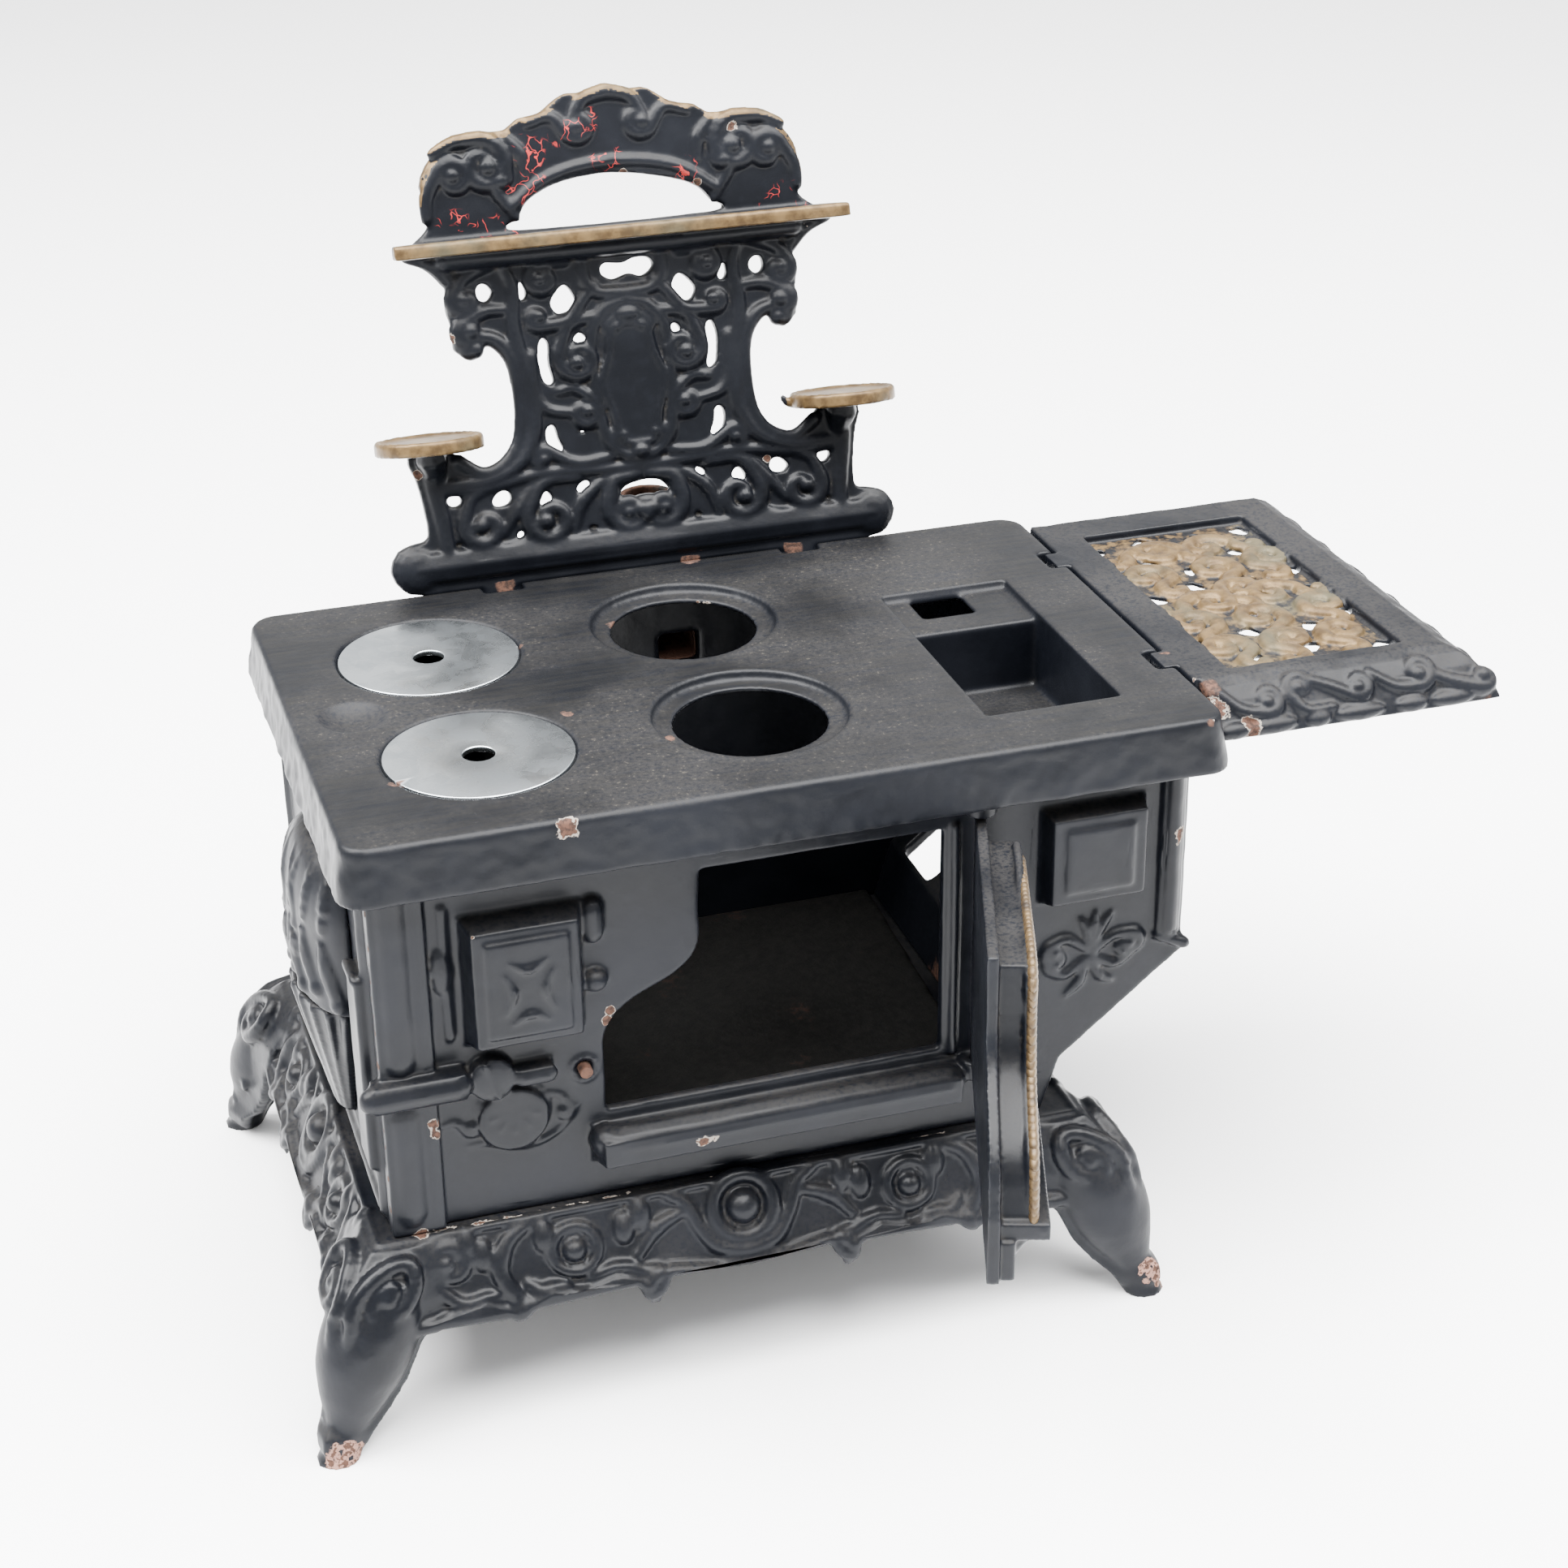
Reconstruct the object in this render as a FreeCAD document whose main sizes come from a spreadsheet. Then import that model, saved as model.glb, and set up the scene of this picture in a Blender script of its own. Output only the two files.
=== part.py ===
# Miniature cast-iron kitchen range, built as a bench-top assembly of separate castings.
#
# Millimetres, +Z up, floor at z = 0. Every piece is drawn about the centre of the cooking
# plate and then moved by one common shift, which puts the origin on the floor under the
# middle of the whole object's box. The oven door stands open, as it is at rest.
import FreeCAD, Part
import os
import math

Vector = FreeCAD.Vector
Rotation = FreeCAD.Rotation
Placement = FreeCAD.Placement
UP = Vector(0, 0, 1)

SIZES = {
    # common
    "shift_x": -34.8,
    "shift_y": 28.5,
    "wall": 3.4,
    # cooking plate
    "plate_top": 176.3,
    "plate_len": 239.2,
    "plate_dep": 153.9,
    "plate_thick": 4.0,
    "rim_tall": 15.9,
    "rim_flare": 2.2,
    "rim_wall": 4.0,
    "corner_rad": 8.0,
    "hole_x_left": -75.5,
    "hole_x_mid": -1.0,
    "hole_y": 32.5,
    "hole_rad": 21.0,
    "seat_rad": 26.6,
    "seat_deep": 2.4,
    "lid_rad": 25.4,
    "lid_hole_rad": 4.35,
    "lid_thick": 1.7,
    "lid_play": 0.6,
    "dimple_x": -102.7,
    "dimple_rad": 9.8,
    "dimple_deep": 3.2,
    "tank_x": 78.0,
    "tank_wide": 39.0,
    "tank_front": -55.0,
    "tank_back": 5.0,
    "tank_step_back": 30.0,
    "tank_deep": 23.0,
    "tank_step_deep": 2.4,
    "slot_x": 75.0,
    "slot_y": 22.5,
    "slot_wide": 16.0,
    "slot_long": 13.0,
    "notch_wide": 12.0,
    "notch_deep": 5.6,
    "notch_front": -36.6,
    "notch_back": 39.9,
    "boss_rad": 4.2,
    "boss_low": 163.0,
    # tie bolts
    "bolt_left_x": -106.5,
    "bolt_left_y": 58.0,
    "bolt_right_x": 66.0,
    "bolt_right_y": -60.5,
    "bolt_rad": 1.98,
    "bolt_long": 117.0,
    "bolt_head_rad": 4.0,
    "bolt_head_tall": 2.6,
    # body plates
    "body_half_dep": 68.6,
    "body_left": -114.3,
    "body_right": 113.0,
    "deck_top": 56.0,
    "slope_top_x": 114.3,
    "slope_top_z": 102.0,
    "slope_low_x": 77.5,
    "slope_low_z": 72.5,
    "slope_foot_x": 72.0,
    "oven_left": -54.0,
    "oven_right": 41.4,
    "oven_low": 83.0,
    "oven_high": 151.2,
    "oven_neck": -26.4,
    "floor_thick": 3.0,
    "ledge_low": 92.0,
    "stud_x": -59.7,
    "stud_z": 97.5,
    "stud_rad": 1.8,
    "fire_wall_x": -59.5,
    # hinge and door
    "hinge_x": 50.5,
    "hinge_y": -72.0,
    "pintle_rad": 1.5,
    "pintle_play": 0.08,
    "door_low": 81.0,
    "door_high": 155.8,
    "door_reach": 105.5,
    "door_thick": 3.0,
    "door_panel": 8.0,
    "door_ledge": 12.5,
    "door_open": 71.0,
    # base
    "hood_y": -14.0,
    "hood_low": 107.0,
    "hood_half": 27.0,
    "hood_proud": 12.5,
    "hood_skin": 2.4,
    "base_x": -18.7,
    "base_len": 199.0,
    "base_dep": 143.0,
    "deck_thick": 4.0,
    "apron_low": 33.0,
    "apron_flare": 11.0,
    "apron_wall": 5.0,
    "foot_x": 117.5,
    "foot_y": 85.5,
    # high back
    "back_x": 1.7,
    "back_y": 75.5,
    "back_lean": 15.0,
    "back_thick": 4.4,
    "trivet_rad": 16.1,
    "trivet_thick": 4.0,
    "trivet_x": 63.5,
    "trivet_top": 45.4,
    "shelf_reach": 11.6,
    "shelf_half": 68.6,
    "shelf_top": 101.4,
    # side shelf
    "side_gap": 0.9,
    "side_front": -52.0,
    "side_back": 67.0,
    "side_right": 197.0,
    "side_thick": 4.0,
    "side_skirt": 14.0,
    # flue
    "flue_x": 6.4,
    "flue_y": 96.5,
    "flue_top": 191.0,
    "flue_bore": 6.6,
    "flue_rad": 8.6,
    "duct_low": 148.0,
}


class Dim:
    """A size that carries its number and the sheet expression that it comes from."""

    def __init__(self, number, text):
        self.number = number
        self.text = text

    def join(self, other, sign, swap=False):
        other = dim(other)
        first, second = (other, self) if swap else (self, other)
        number = {"+": first.number + second.number, "-": first.number - second.number,
                  "*": first.number * second.number}[sign]
        return Dim(number, "(%s %s %s)" % (first.text, sign, second.text))

    def __add__(self, other):
        return self.join(other, "+")

    def __radd__(self, other):
        return self.join(other, "+", swap=True)

    def __sub__(self, other):
        return self.join(other, "-")

    def __rsub__(self, other):
        return self.join(other, "-", swap=True)

    def __mul__(self, other):
        return self.join(other, "*")

    def __rmul__(self, other):
        return self.join(other, "*", swap=True)

    def __neg__(self):
        return self.join(-1.0, "*")


def dim(value):
    """Any plain number as a Dim."""
    return value if isinstance(value, Dim) else Dim(float(value), repr(float(value)))


doc = FreeCAD.newDocument("toy_range")
sheet = doc.addObject("Spreadsheet::Sheet", "Sheet")
size = {}
for row, (alias, number) in enumerate(SIZES.items(), start=1):
    sheet.set("A%d" % row, alias)
    sheet.set("B%d" % row, str(number))
    sheet.setAlias("B%d" % row, alias)
    size[alias] = Dim(number, "Sheet." + alias)
doc.recompute()


# ---------------------------------------------------------------- helpers

def bind(obj, **sizes):
    """Set properties and tie each one to the sheet; Base_x means Placement.Base.x."""
    for name, value in sizes.items():
        value = dim(value)
        path = name.replace("Base_", "Placement.Base.")
        if path == name:
            setattr(obj, name, value.number)
        obj.setExpression(path, value.text)
    return obj


def box(name, low, high):
    """A block between two corners."""
    obj = doc.addObject("Part::Box", name)
    spans = [dim(high[axis]) - low[axis] for axis in range(3)]
    return bind(obj, Length=spans[0], Width=spans[1], Height=spans[2],
                Base_x=low[0], Base_y=low[1], Base_z=low[2])


def turned(obj, axis, degrees, base):
    """Place a primitive with its own axis turned by a fixed angle."""
    obj.Placement = Placement(Vector(*[dim(v).number for v in base]), Rotation(axis, degrees))
    return bind(obj, Base_x=base[0], Base_y=base[1], Base_z=base[2])


def cylinder(name, base, rad, tall, axis=Vector(1, 0, 0), degrees=0.0):
    """A round bar that stands on its base point."""
    obj = bind(doc.addObject("Part::Cylinder", name), Radius=rad, Height=tall)
    return turned(obj, axis, degrees, base)


def ball(name, centre, rad):
    """A sphere."""
    obj = bind(doc.addObject("Part::Sphere", name), Radius=rad)
    return bind(obj, Base_x=centre[0], Base_y=centre[1], Base_z=centre[2])


def fuse(label, pieces):
    """Several shapes as one casting."""
    obj = doc.addObject("Part::MultiFuse", label)
    obj.Shapes = pieces
    obj.Refine = True
    return obj


def cut(label, base, tool):
    """One shape with another taken out of it."""
    obj = doc.addObject("Part::Cut", label)
    obj.Base = base
    obj.Tool = tool
    obj.Refine = True
    return obj


def new_body(label):
    return doc.addObject("PartDesign::Body", label)


def new_sketch(body, role, lift=0.0):
    """A sketch on one of the body's own origin planes, lifted along that plane's normal."""
    sketch = body.newObject("Sketcher::SketchObject", body.Name + "_sketch")
    plane = [item for item in body.Origin.OriginFeatures if item.Role == role][0]
    sketch.AttachmentSupport = [(plane, "")]
    sketch.MapMode = "FlatFace"
    sketch.AttachmentOffset = Placement(Vector(0, 0, dim(lift).number), Rotation())
    sketch.setExpression("AttachmentOffset.Base.z", dim(lift).text)
    return sketch


def pin_down(sketch, index, end, point):
    """Tie one end of a sketch line to its place."""
    for kind, value in (("DistanceX", point[0]), ("DistanceY", point[1])):
        value = dim(value)
        row = sketch.addConstraint(Sketcher.Constraint(kind, -1, 1, index, end, value.number))
        sketch.setExpression("Constraints[%d]" % row, value.text)


def flat(point):
    return Vector(dim(point[0]).number, dim(point[1]).number, 0)


def outline(sketch, path):
    """A closed outline: each step is a corner, or a list of points that a curve goes through."""
    corners = [step for step in path if isinstance(step, tuple)]
    start = corners[0]
    here = start
    curve = []
    first = sketch.GeometryCount
    for step in path[1:] + [start]:
        if isinstance(step, list):
            curve = step
            continue
        if curve:
            line = Part.BSplineCurve()
            line.interpolate([flat(here)] + [flat(point) for point in curve] + [flat(step)])
        else:
            line = Part.LineSegment(flat(here), flat(step))
        index = sketch.addGeometry(line, False)
        if index > first:
            sketch.addConstraint(Sketcher.Constraint("Coincident", index - 1, 2, index, 1))
        pin_down(sketch, index, 1, here)
        here = step
        curve = []
    sketch.addConstraint(Sketcher.Constraint("Coincident", index, 2, first, 1))


def rectangle(sketch, low, high):
    outline(sketch, [(low[0], low[1]), (high[0], low[1]), (high[0], high[1]), (low[0], high[1])])


def circle(sketch, centre, rad):
    shape = Part.Circle(flat(centre), Vector(0, 0, 1), dim(rad).number)
    index = sketch.addGeometry(shape, False)
    pin_down(sketch, index, 3, centre)
    row = sketch.addConstraint(Sketcher.Constraint("Radius", index, dim(rad).number))
    sketch.setExpression("Constraints[%d]" % row, dim(rad).text)


def pad(body, sketch, length, back=False, taper=0.0):
    """Raise a sketch along its normal, or against it."""
    feature = body.newObject("PartDesign::Pad", body.Name + "_pad")
    feature.Profile = sketch
    bind(feature, Length=length)
    feature.Reversed = back
    feature.TaperAngle = taper
    doc.recompute()
    return feature


def pocket(body, sketch, length, back=False):
    """Cut a sketch into the body, and make sure that it did cut."""
    before = body.Shape.Volume
    feature = body.newObject("PartDesign::Pocket", body.Name + "_pocket")
    feature.Profile = sketch
    bind(feature, Length=length)
    feature.Reversed = back
    doc.recompute()
    if body.Shape.Volume > before - 0.01:
        raise RuntimeError("a pocket of %s cuts nothing" % body.Label)
    return feature


def soften(body, rad, wanted):
    """Round the edges that a test picks out."""
    tip = body.Tip
    names = ["Edge%d" % number for number, edge in enumerate(tip.Shape.Edges, start=1) if wanted(edge)]
    feature = body.newObject("PartDesign::Fillet", body.Name + "_fillet")
    feature.Base = (tip, names)
    bind(feature, Radius=rad)
    doc.recompute()
    return feature


def is_upright(edge):
    """True for a straight edge that runs from front to back or bottom to top."""
    span = edge.BoundBox
    return span.ZLength > 1.0 and span.XLength < 4.0 and span.YLength < 4.0


NODES = []


def keep(obj, place=None):
    """Register a finished piece and put it in the shared frame."""
    shift = Placement(Vector(size["shift_x"].number, size["shift_y"].number, 0), Rotation())
    obj.Placement = shift.multiply(place) if place else shift
    NODES.append(obj)
    return obj


import Sketcher  # FreeCAD and Part have to come first

wall = size["wall"]
plate_top = size["plate_top"]
plate_under = plate_top - size["plate_thick"]
deck_top = size["deck_top"]
bolts = [(side, size["bolt_%s_x" % side], size["bolt_%s_y" % side]) for side in ("left", "right")]
front_y = -size["body_half_dep"]
back_y = size["body_half_dep"]


# ---------------------------------------------------------------- cooking plate

def cooking_plate():
    half_len = size["plate_len"] * 0.5
    half_dep = size["plate_dep"] * 0.5
    body = new_body("plate_blank")
    sketch = new_sketch(body, "XY_Plane", plate_top)
    rectangle(sketch, (-half_len, -half_dep), (half_len, half_dep))
    slant = math.degrees(math.atan2(size["rim_flare"].number, size["rim_tall"].number))
    pad(body, sketch, size["rim_tall"], back=True, taper=slant)
    soften(body, size["corner_rad"], is_upright)
    soften(body, 2.0, lambda edge: edge.BoundBox.ZMin > plate_top.number - 0.01)
    sketch = new_sketch(body, "XY_Plane", plate_top - size["rim_tall"])
    inset = size["rim_wall"] - size["rim_flare"] + 1.2
    rectangle(sketch, (-half_len + inset, -half_dep + inset), (half_len - inset, half_dep - inset))
    pocket(body, sketch, size["rim_tall"] - size["plate_thick"], back=True)

    tank_left = size["tank_x"] - size["tank_wide"] * 0.5
    tank_right = size["tank_x"] + size["tank_wide"] * 0.5
    tank_floor = plate_top - size["tank_deep"]
    added = [
        body,
        box("tank_walls", (tank_left - 2.5, size["tank_front"] - 2.5, tank_floor - 2.5),
            (tank_right + 2.5, size["tank_back"] + 2.5, plate_under)),
    ]
    for side, x, y in bolts:
        added.append(cylinder("boss_" + side, (x, y, size["boss_low"]), size["boss_rad"],
                              plate_under - size["boss_low"]))
    blank = fuse("plate_with_tank", added)

    cuts = []
    through = size["plate_thick"] + 2.0
    for side in (-1.0, 1.0):
        for column, x in (("left", size["hole_x_left"]), ("mid", size["hole_x_mid"])):
            y = size["hole_y"] * side
            name = "%s_%s" % (column, "rear" if side > 0 else "front")
            cuts.append(cylinder("hole_" + name, (x, y, plate_under - 1.0), size["hole_rad"], through))
            deep = size["seat_deep"] if column == "mid" else size["lid_thick"] + 0.2
            rad = size["seat_rad"] if column == "mid" else size["lid_rad"] + size["lid_play"]
            cuts.append(cylinder("seat_" + name, (x, y, plate_top - deep), rad, deep + 1.0))
    bowl = 0.5 * (size["dimple_rad"].number ** 2 / size["dimple_deep"].number + size["dimple_deep"].number)
    cuts.append(ball("dimple", (size["dimple_x"], 0.5, plate_top - size["dimple_deep"] + bowl), bowl))
    cuts.append(box("tank", (tank_left, size["tank_front"], tank_floor),
                    (tank_right, size["tank_back"], plate_top + 1.0)))
    cuts.append(box("tank_step", (tank_left, size["tank_back"] - 1.0, plate_top - size["tank_step_deep"]),
                    (tank_right, size["tank_step_back"], plate_top + 1.0)))
    cuts.append(box("tank_slot", (size["slot_x"] - size["slot_wide"] * 0.5,
                                  size["slot_y"] - size["slot_long"] * 0.5, plate_under - 1.0),
                    (size["slot_x"] + size["slot_wide"] * 0.5,
                     size["slot_y"] + size["slot_long"] * 0.5, plate_top)))
    for name in ("notch_front", "notch_back"):
        cuts.append(box(name, (half_len - size["notch_deep"], size[name] - size["notch_wide"] * 0.5,
                               plate_top - 8.0), (half_len + 4.0, size[name] + size["notch_wide"] * 0.5,
                                                  plate_top + 1.0)))
    for side in (-1.0, 1.0):
        middle = size["back_x"] + 46.2 * side
        cuts.append(box("tab_notch", (middle - 6.0, half_dep - 5.4, plate_top - 5.0),
                        (middle + 6.0, half_dep + 4.0, plate_top + 1.0)))
    for side, x, y in bolts:
        cuts.append(cylinder("thread_" + side, (x, y, size["boss_low"] - 1.0), size["bolt_rad"] + 0.02, 8.0))
    keep(cut("top_plate", blank, fuse("plate_cuts", cuts)))


# ---------------------------------------------------------------- lids

def lids():
    for name, side in (("lid_front", -1.0), ("lid_rear", 1.0)):
        body = new_body(name)
        sketch = new_sketch(body, "XY_Plane", plate_top - size["lid_thick"] - 0.2)
        centre = (size["hole_x_left"], size["hole_y"] * side)
        circle(sketch, centre, size["lid_rad"])
        circle(sketch, centre, size["lid_hole_rad"])
        pad(body, sketch, size["lid_thick"])
        keep(body)


# ---------------------------------------------------------------- body plates

def end_outline(sketch):
    """The outline that the front and back plates share, cut away under the right end."""
    outline(sketch, [(size["body_left"], deck_top), (size["slope_foot_x"], deck_top),
                     (size["slope_low_x"], size["slope_low_z"]), (size["slope_top_x"], size["slope_top_z"]),
                     (size["body_right"], size["slope_top_z"] + 5.0), (size["body_right"], plate_under),
                     (size["body_left"], plate_under)])


def oven_mouth(sketch, grow=0.0):
    """The oven opening, stepped in at the upper left; grow makes it larger all round."""
    outline(sketch, [(size["oven_left"] - grow, size["oven_low"] - grow),
                     (size["oven_right"] + grow, size["oven_low"] - grow),
                     (size["oven_right"] + grow, size["oven_high"] + grow),
                     (size["oven_neck"] - grow, size["oven_high"] + grow),
                     (size["oven_neck"] - 0.6 - grow, 137.0 + grow),
                     [(-32.5 - grow, 122.4 + grow), (-47.5 - grow, 114.6 + grow)],
                     (size["oven_left"] - grow, 104.0 + grow)])


def front_plate():
    body = new_body("front_casting")
    sketch = new_sketch(body, "XZ_Plane", -front_y)
    end_outline(sketch)
    pad(body, sketch, wall, back=True)
    sketch = new_sketch(body, "XZ_Plane", -front_y)
    oven_mouth(sketch)
    pocket(body, sketch, wall + 1.0)
    face = -front_y
    reliefs = {  # lower left and upper right corner, how proud, draft angle
        "fire door": ((-91.0, 111.0), (-59.0, 149.0), 8.0, 14.0),
        "reservoir box": ((69.0, 124.0), (99.5, 153.0), 6.5, 14.0),
        "left pilaster": ((size["body_left"], deck_top), (-99.7, 172.0), 2.5, 0.0),
        "right pilaster": ((104.5, 108.0), (111.5, 172.0), 1.8, 0.0),
        "belt": ((-117.0, 97.5), (-92.2, 105.5), 6.0, 0.0),
        "damper tab": ((-78.0, 97.5), (-68.5, 102.8), 4.5, 0.0),
        "sill": ((-58.8, 68.0), (46.7, 79.4), 9.0, 12.0),
    }
    for low, high, tall, taper in reliefs.values():
        sketch = new_sketch(body, "XZ_Plane", face)
        rectangle(sketch, low, high)
        pad(body, sketch, tall, taper=-taper)
    discs = {"damper": ((-85.2, 101.0), 6.3, 4.0), "shell": ((-79.6, 86.5), 9.5, 2.5)}
    for centre, rad, tall in discs.values():
        sketch = new_sketch(body, "XZ_Plane", face)
        circle(sketch, centre, rad)
        pad(body, sketch, tall)

    hinge = (size["hinge_x"], size["hinge_y"])
    lugs = []
    for name, low, tall in (("lug_low", 74.5, 6.0), ("lug_high", 156.3, 4.0)):
        lugs.append(cylinder(name, (hinge[0], hinge[1], low), 4.4, tall))
        lugs.append(box(name + "_web", (hinge[0] - 4.4, hinge[1], low),
                        (hinge[0] + 4.4, front_y, low + tall)))
    stud_hole = cylinder("stud_hole", (size["stud_x"], front_y + 5.0, size["stud_z"]),
                         size["stud_rad"] + 0.05, 9.0, Vector(1, 0, 0), 90.0)
    bores = [cylinder("lug_bore", (hinge[0], hinge[1], 76.0), size["pintle_rad"] + size["pintle_play"], 6.0),
             cylinder("lug_bore_high", (hinge[0], hinge[1], 155.0),
                      size["pintle_rad"] + size["pintle_play"], 4.6), stud_hole]
    keep(cut("front_plate", fuse("front_with_lugs", [body] + lugs), fuse("front_bores", bores)))

    body = new_body("front_stud")
    sketch = new_sketch(body, "XZ_Plane", -front_y)
    circle(sketch, (size["stud_x"], size["stud_z"]), size["stud_rad"])
    pad(body, sketch, 3.0)
    pad(body, sketch, wall - 0.1, back=True)
    keep(body)


def back_plate():
    body = new_body("back_plate")
    sketch = new_sketch(body, "XZ_Plane", -back_y)
    end_outline(sketch)
    pad(body, sketch, wall)
    sketch = new_sketch(body, "XZ_Plane", -back_y)
    duct_x, duct_low = size["flue_x"], size["duct_low"]
    rectangle(sketch, (duct_x - 6.0, duct_low), (duct_x + 6.0, duct_low + 9.5))
    pocket(body, sketch, wall + 1.0, back=True)
    keep(body)


def left_end_plate():
    """The fire end: a plate with the fire opening and a low box panel in front of it."""
    body = new_body("left_end_plate")
    sketch = new_sketch(body, "YZ_Plane", size["body_left"])
    rectangle(sketch, (front_y + wall, deck_top), (back_y - wall, plate_under))
    pad(body, sketch, wall)
    sketch = new_sketch(body, "YZ_Plane", size["body_left"])
    rectangle(sketch, (-36.0, 98.0), (8.0, 144.0))
    pocket(body, sketch, wall + 1.0, back=True)
    sketch = new_sketch(body, "YZ_Plane", size["body_left"])
    rectangle(sketch, (-64.0, 74.0), (-50.5, 132.0))
    pad(body, sketch, 3.6, back=True)
    sketch = new_sketch(body, "YZ_Plane", size["body_left"] + wall)
    rectangle(sketch, (-56.0, size["ledge_low"]), (50.0, size["ledge_low"] + 3.0))
    pad(body, sketch, 4.0)
    keep(body)


def right_end_plate():
    """The reservoir end: upright above, sloping in under the reservoir, then a short foot."""
    top_x = size["body_right"]
    body = new_body("right_end_plate")
    sketch = new_sketch(body, "XZ_Plane", -front_y - wall)
    outline(sketch, [(size["slope_foot_x"], deck_top), (size["slope_low_x"], size["slope_low_z"]),
                     (size["slope_top_x"] - 1.3, size["slope_top_z"]), (top_x, plate_under),
                     (top_x - wall, plate_under), (top_x - wall, size["slope_top_z"] + 1.4),
                     (size["slope_low_x"] - 3.0, size["slope_low_z"] + 2.6),
                     (size["slope_foot_x"] - wall, deck_top)])
    pad(body, sketch, (back_y - wall) * 2.0, back=True)
    sketch = new_sketch(body, "XY_Plane", deck_top)
    rectangle(sketch, (76.0, 34.0), (92.0, 56.0))
    pocket(body, sketch, 45.0, back=True)
    keep(body)


def inner_plates():
    """The wall between fire and oven, the oven floor and the grate that holds the fire."""
    fire_x = size["fire_wall_x"]
    body = new_body("firebox_wall")
    sketch = new_sketch(body, "YZ_Plane", fire_x)
    rectangle(sketch, (front_y + wall, deck_top), (back_y - wall, plate_under))
    pad(body, sketch, 3.0)
    sketch = new_sketch(body, "YZ_Plane", fire_x)
    rectangle(sketch, (-56.0, size["ledge_low"]), (50.0, size["ledge_low"] + 3.0))
    pad(body, sketch, 4.0, back=True)
    keep(body)

    body = new_body("oven_floor")
    sketch = new_sketch(body, "XY_Plane", deck_top)
    outline(sketch, [(fire_x + 3.0, front_y + wall), (61.0, front_y + wall), (67.0, back_y - wall),
                     (fire_x + 3.0, back_y - wall)])
    pad(body, sketch, size["floor_thick"])
    keep(body)

    body = new_body("fire_grate")
    left = size["body_left"] + wall + 0.5
    sketch = new_sketch(body, "XY_Plane", size["ledge_low"] + 3.0)
    rectangle(sketch, (left, -58.0), (fire_x - 0.5, 50.0))
    pad(body, sketch, 4.0)
    sketch = new_sketch(body, "XY_Plane", size["ledge_low"] + 3.0)
    rectangle(sketch, (left + 5.0, -53.0), (fire_x - 5.5, -47.0))
    slot = pocket(body, sketch, 6.0, back=True)
    pattern = body.newObject("PartDesign::LinearPattern", "grate_slots")
    pattern.Originals = [slot]
    pattern.Direction = (sketch, ["V_Axis"])
    pattern.Length = 92.0
    pattern.Occurrences = 9
    body.Tip = pattern
    doc.recompute()
    keep(body)


# ---------------------------------------------------------------- fire end hood and hearth

def oval_loft(name, rings):
    """A solid through flat ovals, each (x, y, z, half size along X, half size along Y)."""
    sections = []
    for number, (x, y, z, across, deep) in enumerate(rings):
        oval = doc.addObject("Part::Ellipse", "%s_ring%d" % (name, number))
        wide = dim(across).number >= dim(deep).number
        major, minor = (across, deep) if wide else (deep, across)
        turn = 0.0 if wide else 90.0
        turned(oval, UP, turn, (x, y, z))
        bind(oval, MajorRadius=major, MinorRadius=minor)
        sections.append(oval)
    loft = doc.addObject("Part::Loft", name)
    loft.Sections = sections
    loft.Solid = True
    loft.Ruled = False
    return loft


def fire_end():
    """A bulging ribbed hood over the fire opening and a tapering scoop under it."""
    face = size["body_left"]
    skin = size["hood_skin"]
    levels = [(0.0, 0.96), (16.0, 1.0), (31.0, 0.97), (40.0, 0.8), (45.0, 0.45)]
    outer = oval_loft("hood_outer", [(face, size["hood_y"], size["hood_low"] + up, size["hood_proud"] * grow,
                                      size["hood_half"] * grow) for up, grow in levels])
    inner = oval_loft("hood_inner", [(face, size["hood_y"], size["hood_low"] + up * 0.95 - 0.5,
                                      size["hood_proud"] * grow - skin, size["hood_half"] * grow - skin)
                                     for up, grow in levels])
    clip = box("hood_clip", (face - 20.0, size["hood_y"] - 40.0, size["hood_low"]),
               (face, size["hood_y"] + 40.0, 160.0))
    common = doc.addObject("Part::MultiCommon", "fire_hood")
    common.Shapes = [cut("hood_shell", outer, inner), clip]
    keep(common)

    top = size["hood_low"] - 0.4
    outer = oval_loft("scoop_outer", [(face, size["hood_y"], top, 13.0, 23.0),
                                      (face, size["hood_y"], 86.0, 9.0, 14.0),
                                      (face, size["hood_y"], 66.0, 4.5, 7.0)])
    inner = oval_loft("scoop_inner", [(face, size["hood_y"], top, 13.0 - skin, 23.0 - skin),
                                      (face, size["hood_y"], 86.0, 9.0 - skin, 14.0 - skin),
                                      (face, size["hood_y"], 69.0, 5.0 - skin, 7.5 - skin)])
    half = doc.addObject("Part::MultiCommon", "hearth_scoop")
    half.Shapes = [cut("scoop_shell", outer, inner),
                   box("scoop_clip", (face - 20.0, size["hood_y"] - 30.0, 60.0),
                       (face, size["hood_y"] + 30.0, top))]
    keep(half)


# ---------------------------------------------------------------- flue collar and tie bolts

def flue_collar():
    """An elbow behind the back plate: a short duct that turns up into a round collar."""
    x, y = size["flue_x"], size["flue_y"]
    low = size["duct_low"] - 2.2
    outer = fuse("flue_outer", [cylinder("flue_tube", (x, y, low), size["flue_rad"], size["flue_top"] - low),
                                box("flue_duct", (x - 8.2, back_y, low), (x + 8.2, y, low + 13.9))])
    inner = fuse("flue_inner", [cylinder("flue_hole", (x, y, low + 2.2), size["flue_bore"], 60.0),
                                box("duct_hole", (x - 6.0, back_y - 1.0, low + 2.2),
                                    (x + 6.0, y, low + 11.7))])
    keep(cut("flue_collar", outer, inner))


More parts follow.
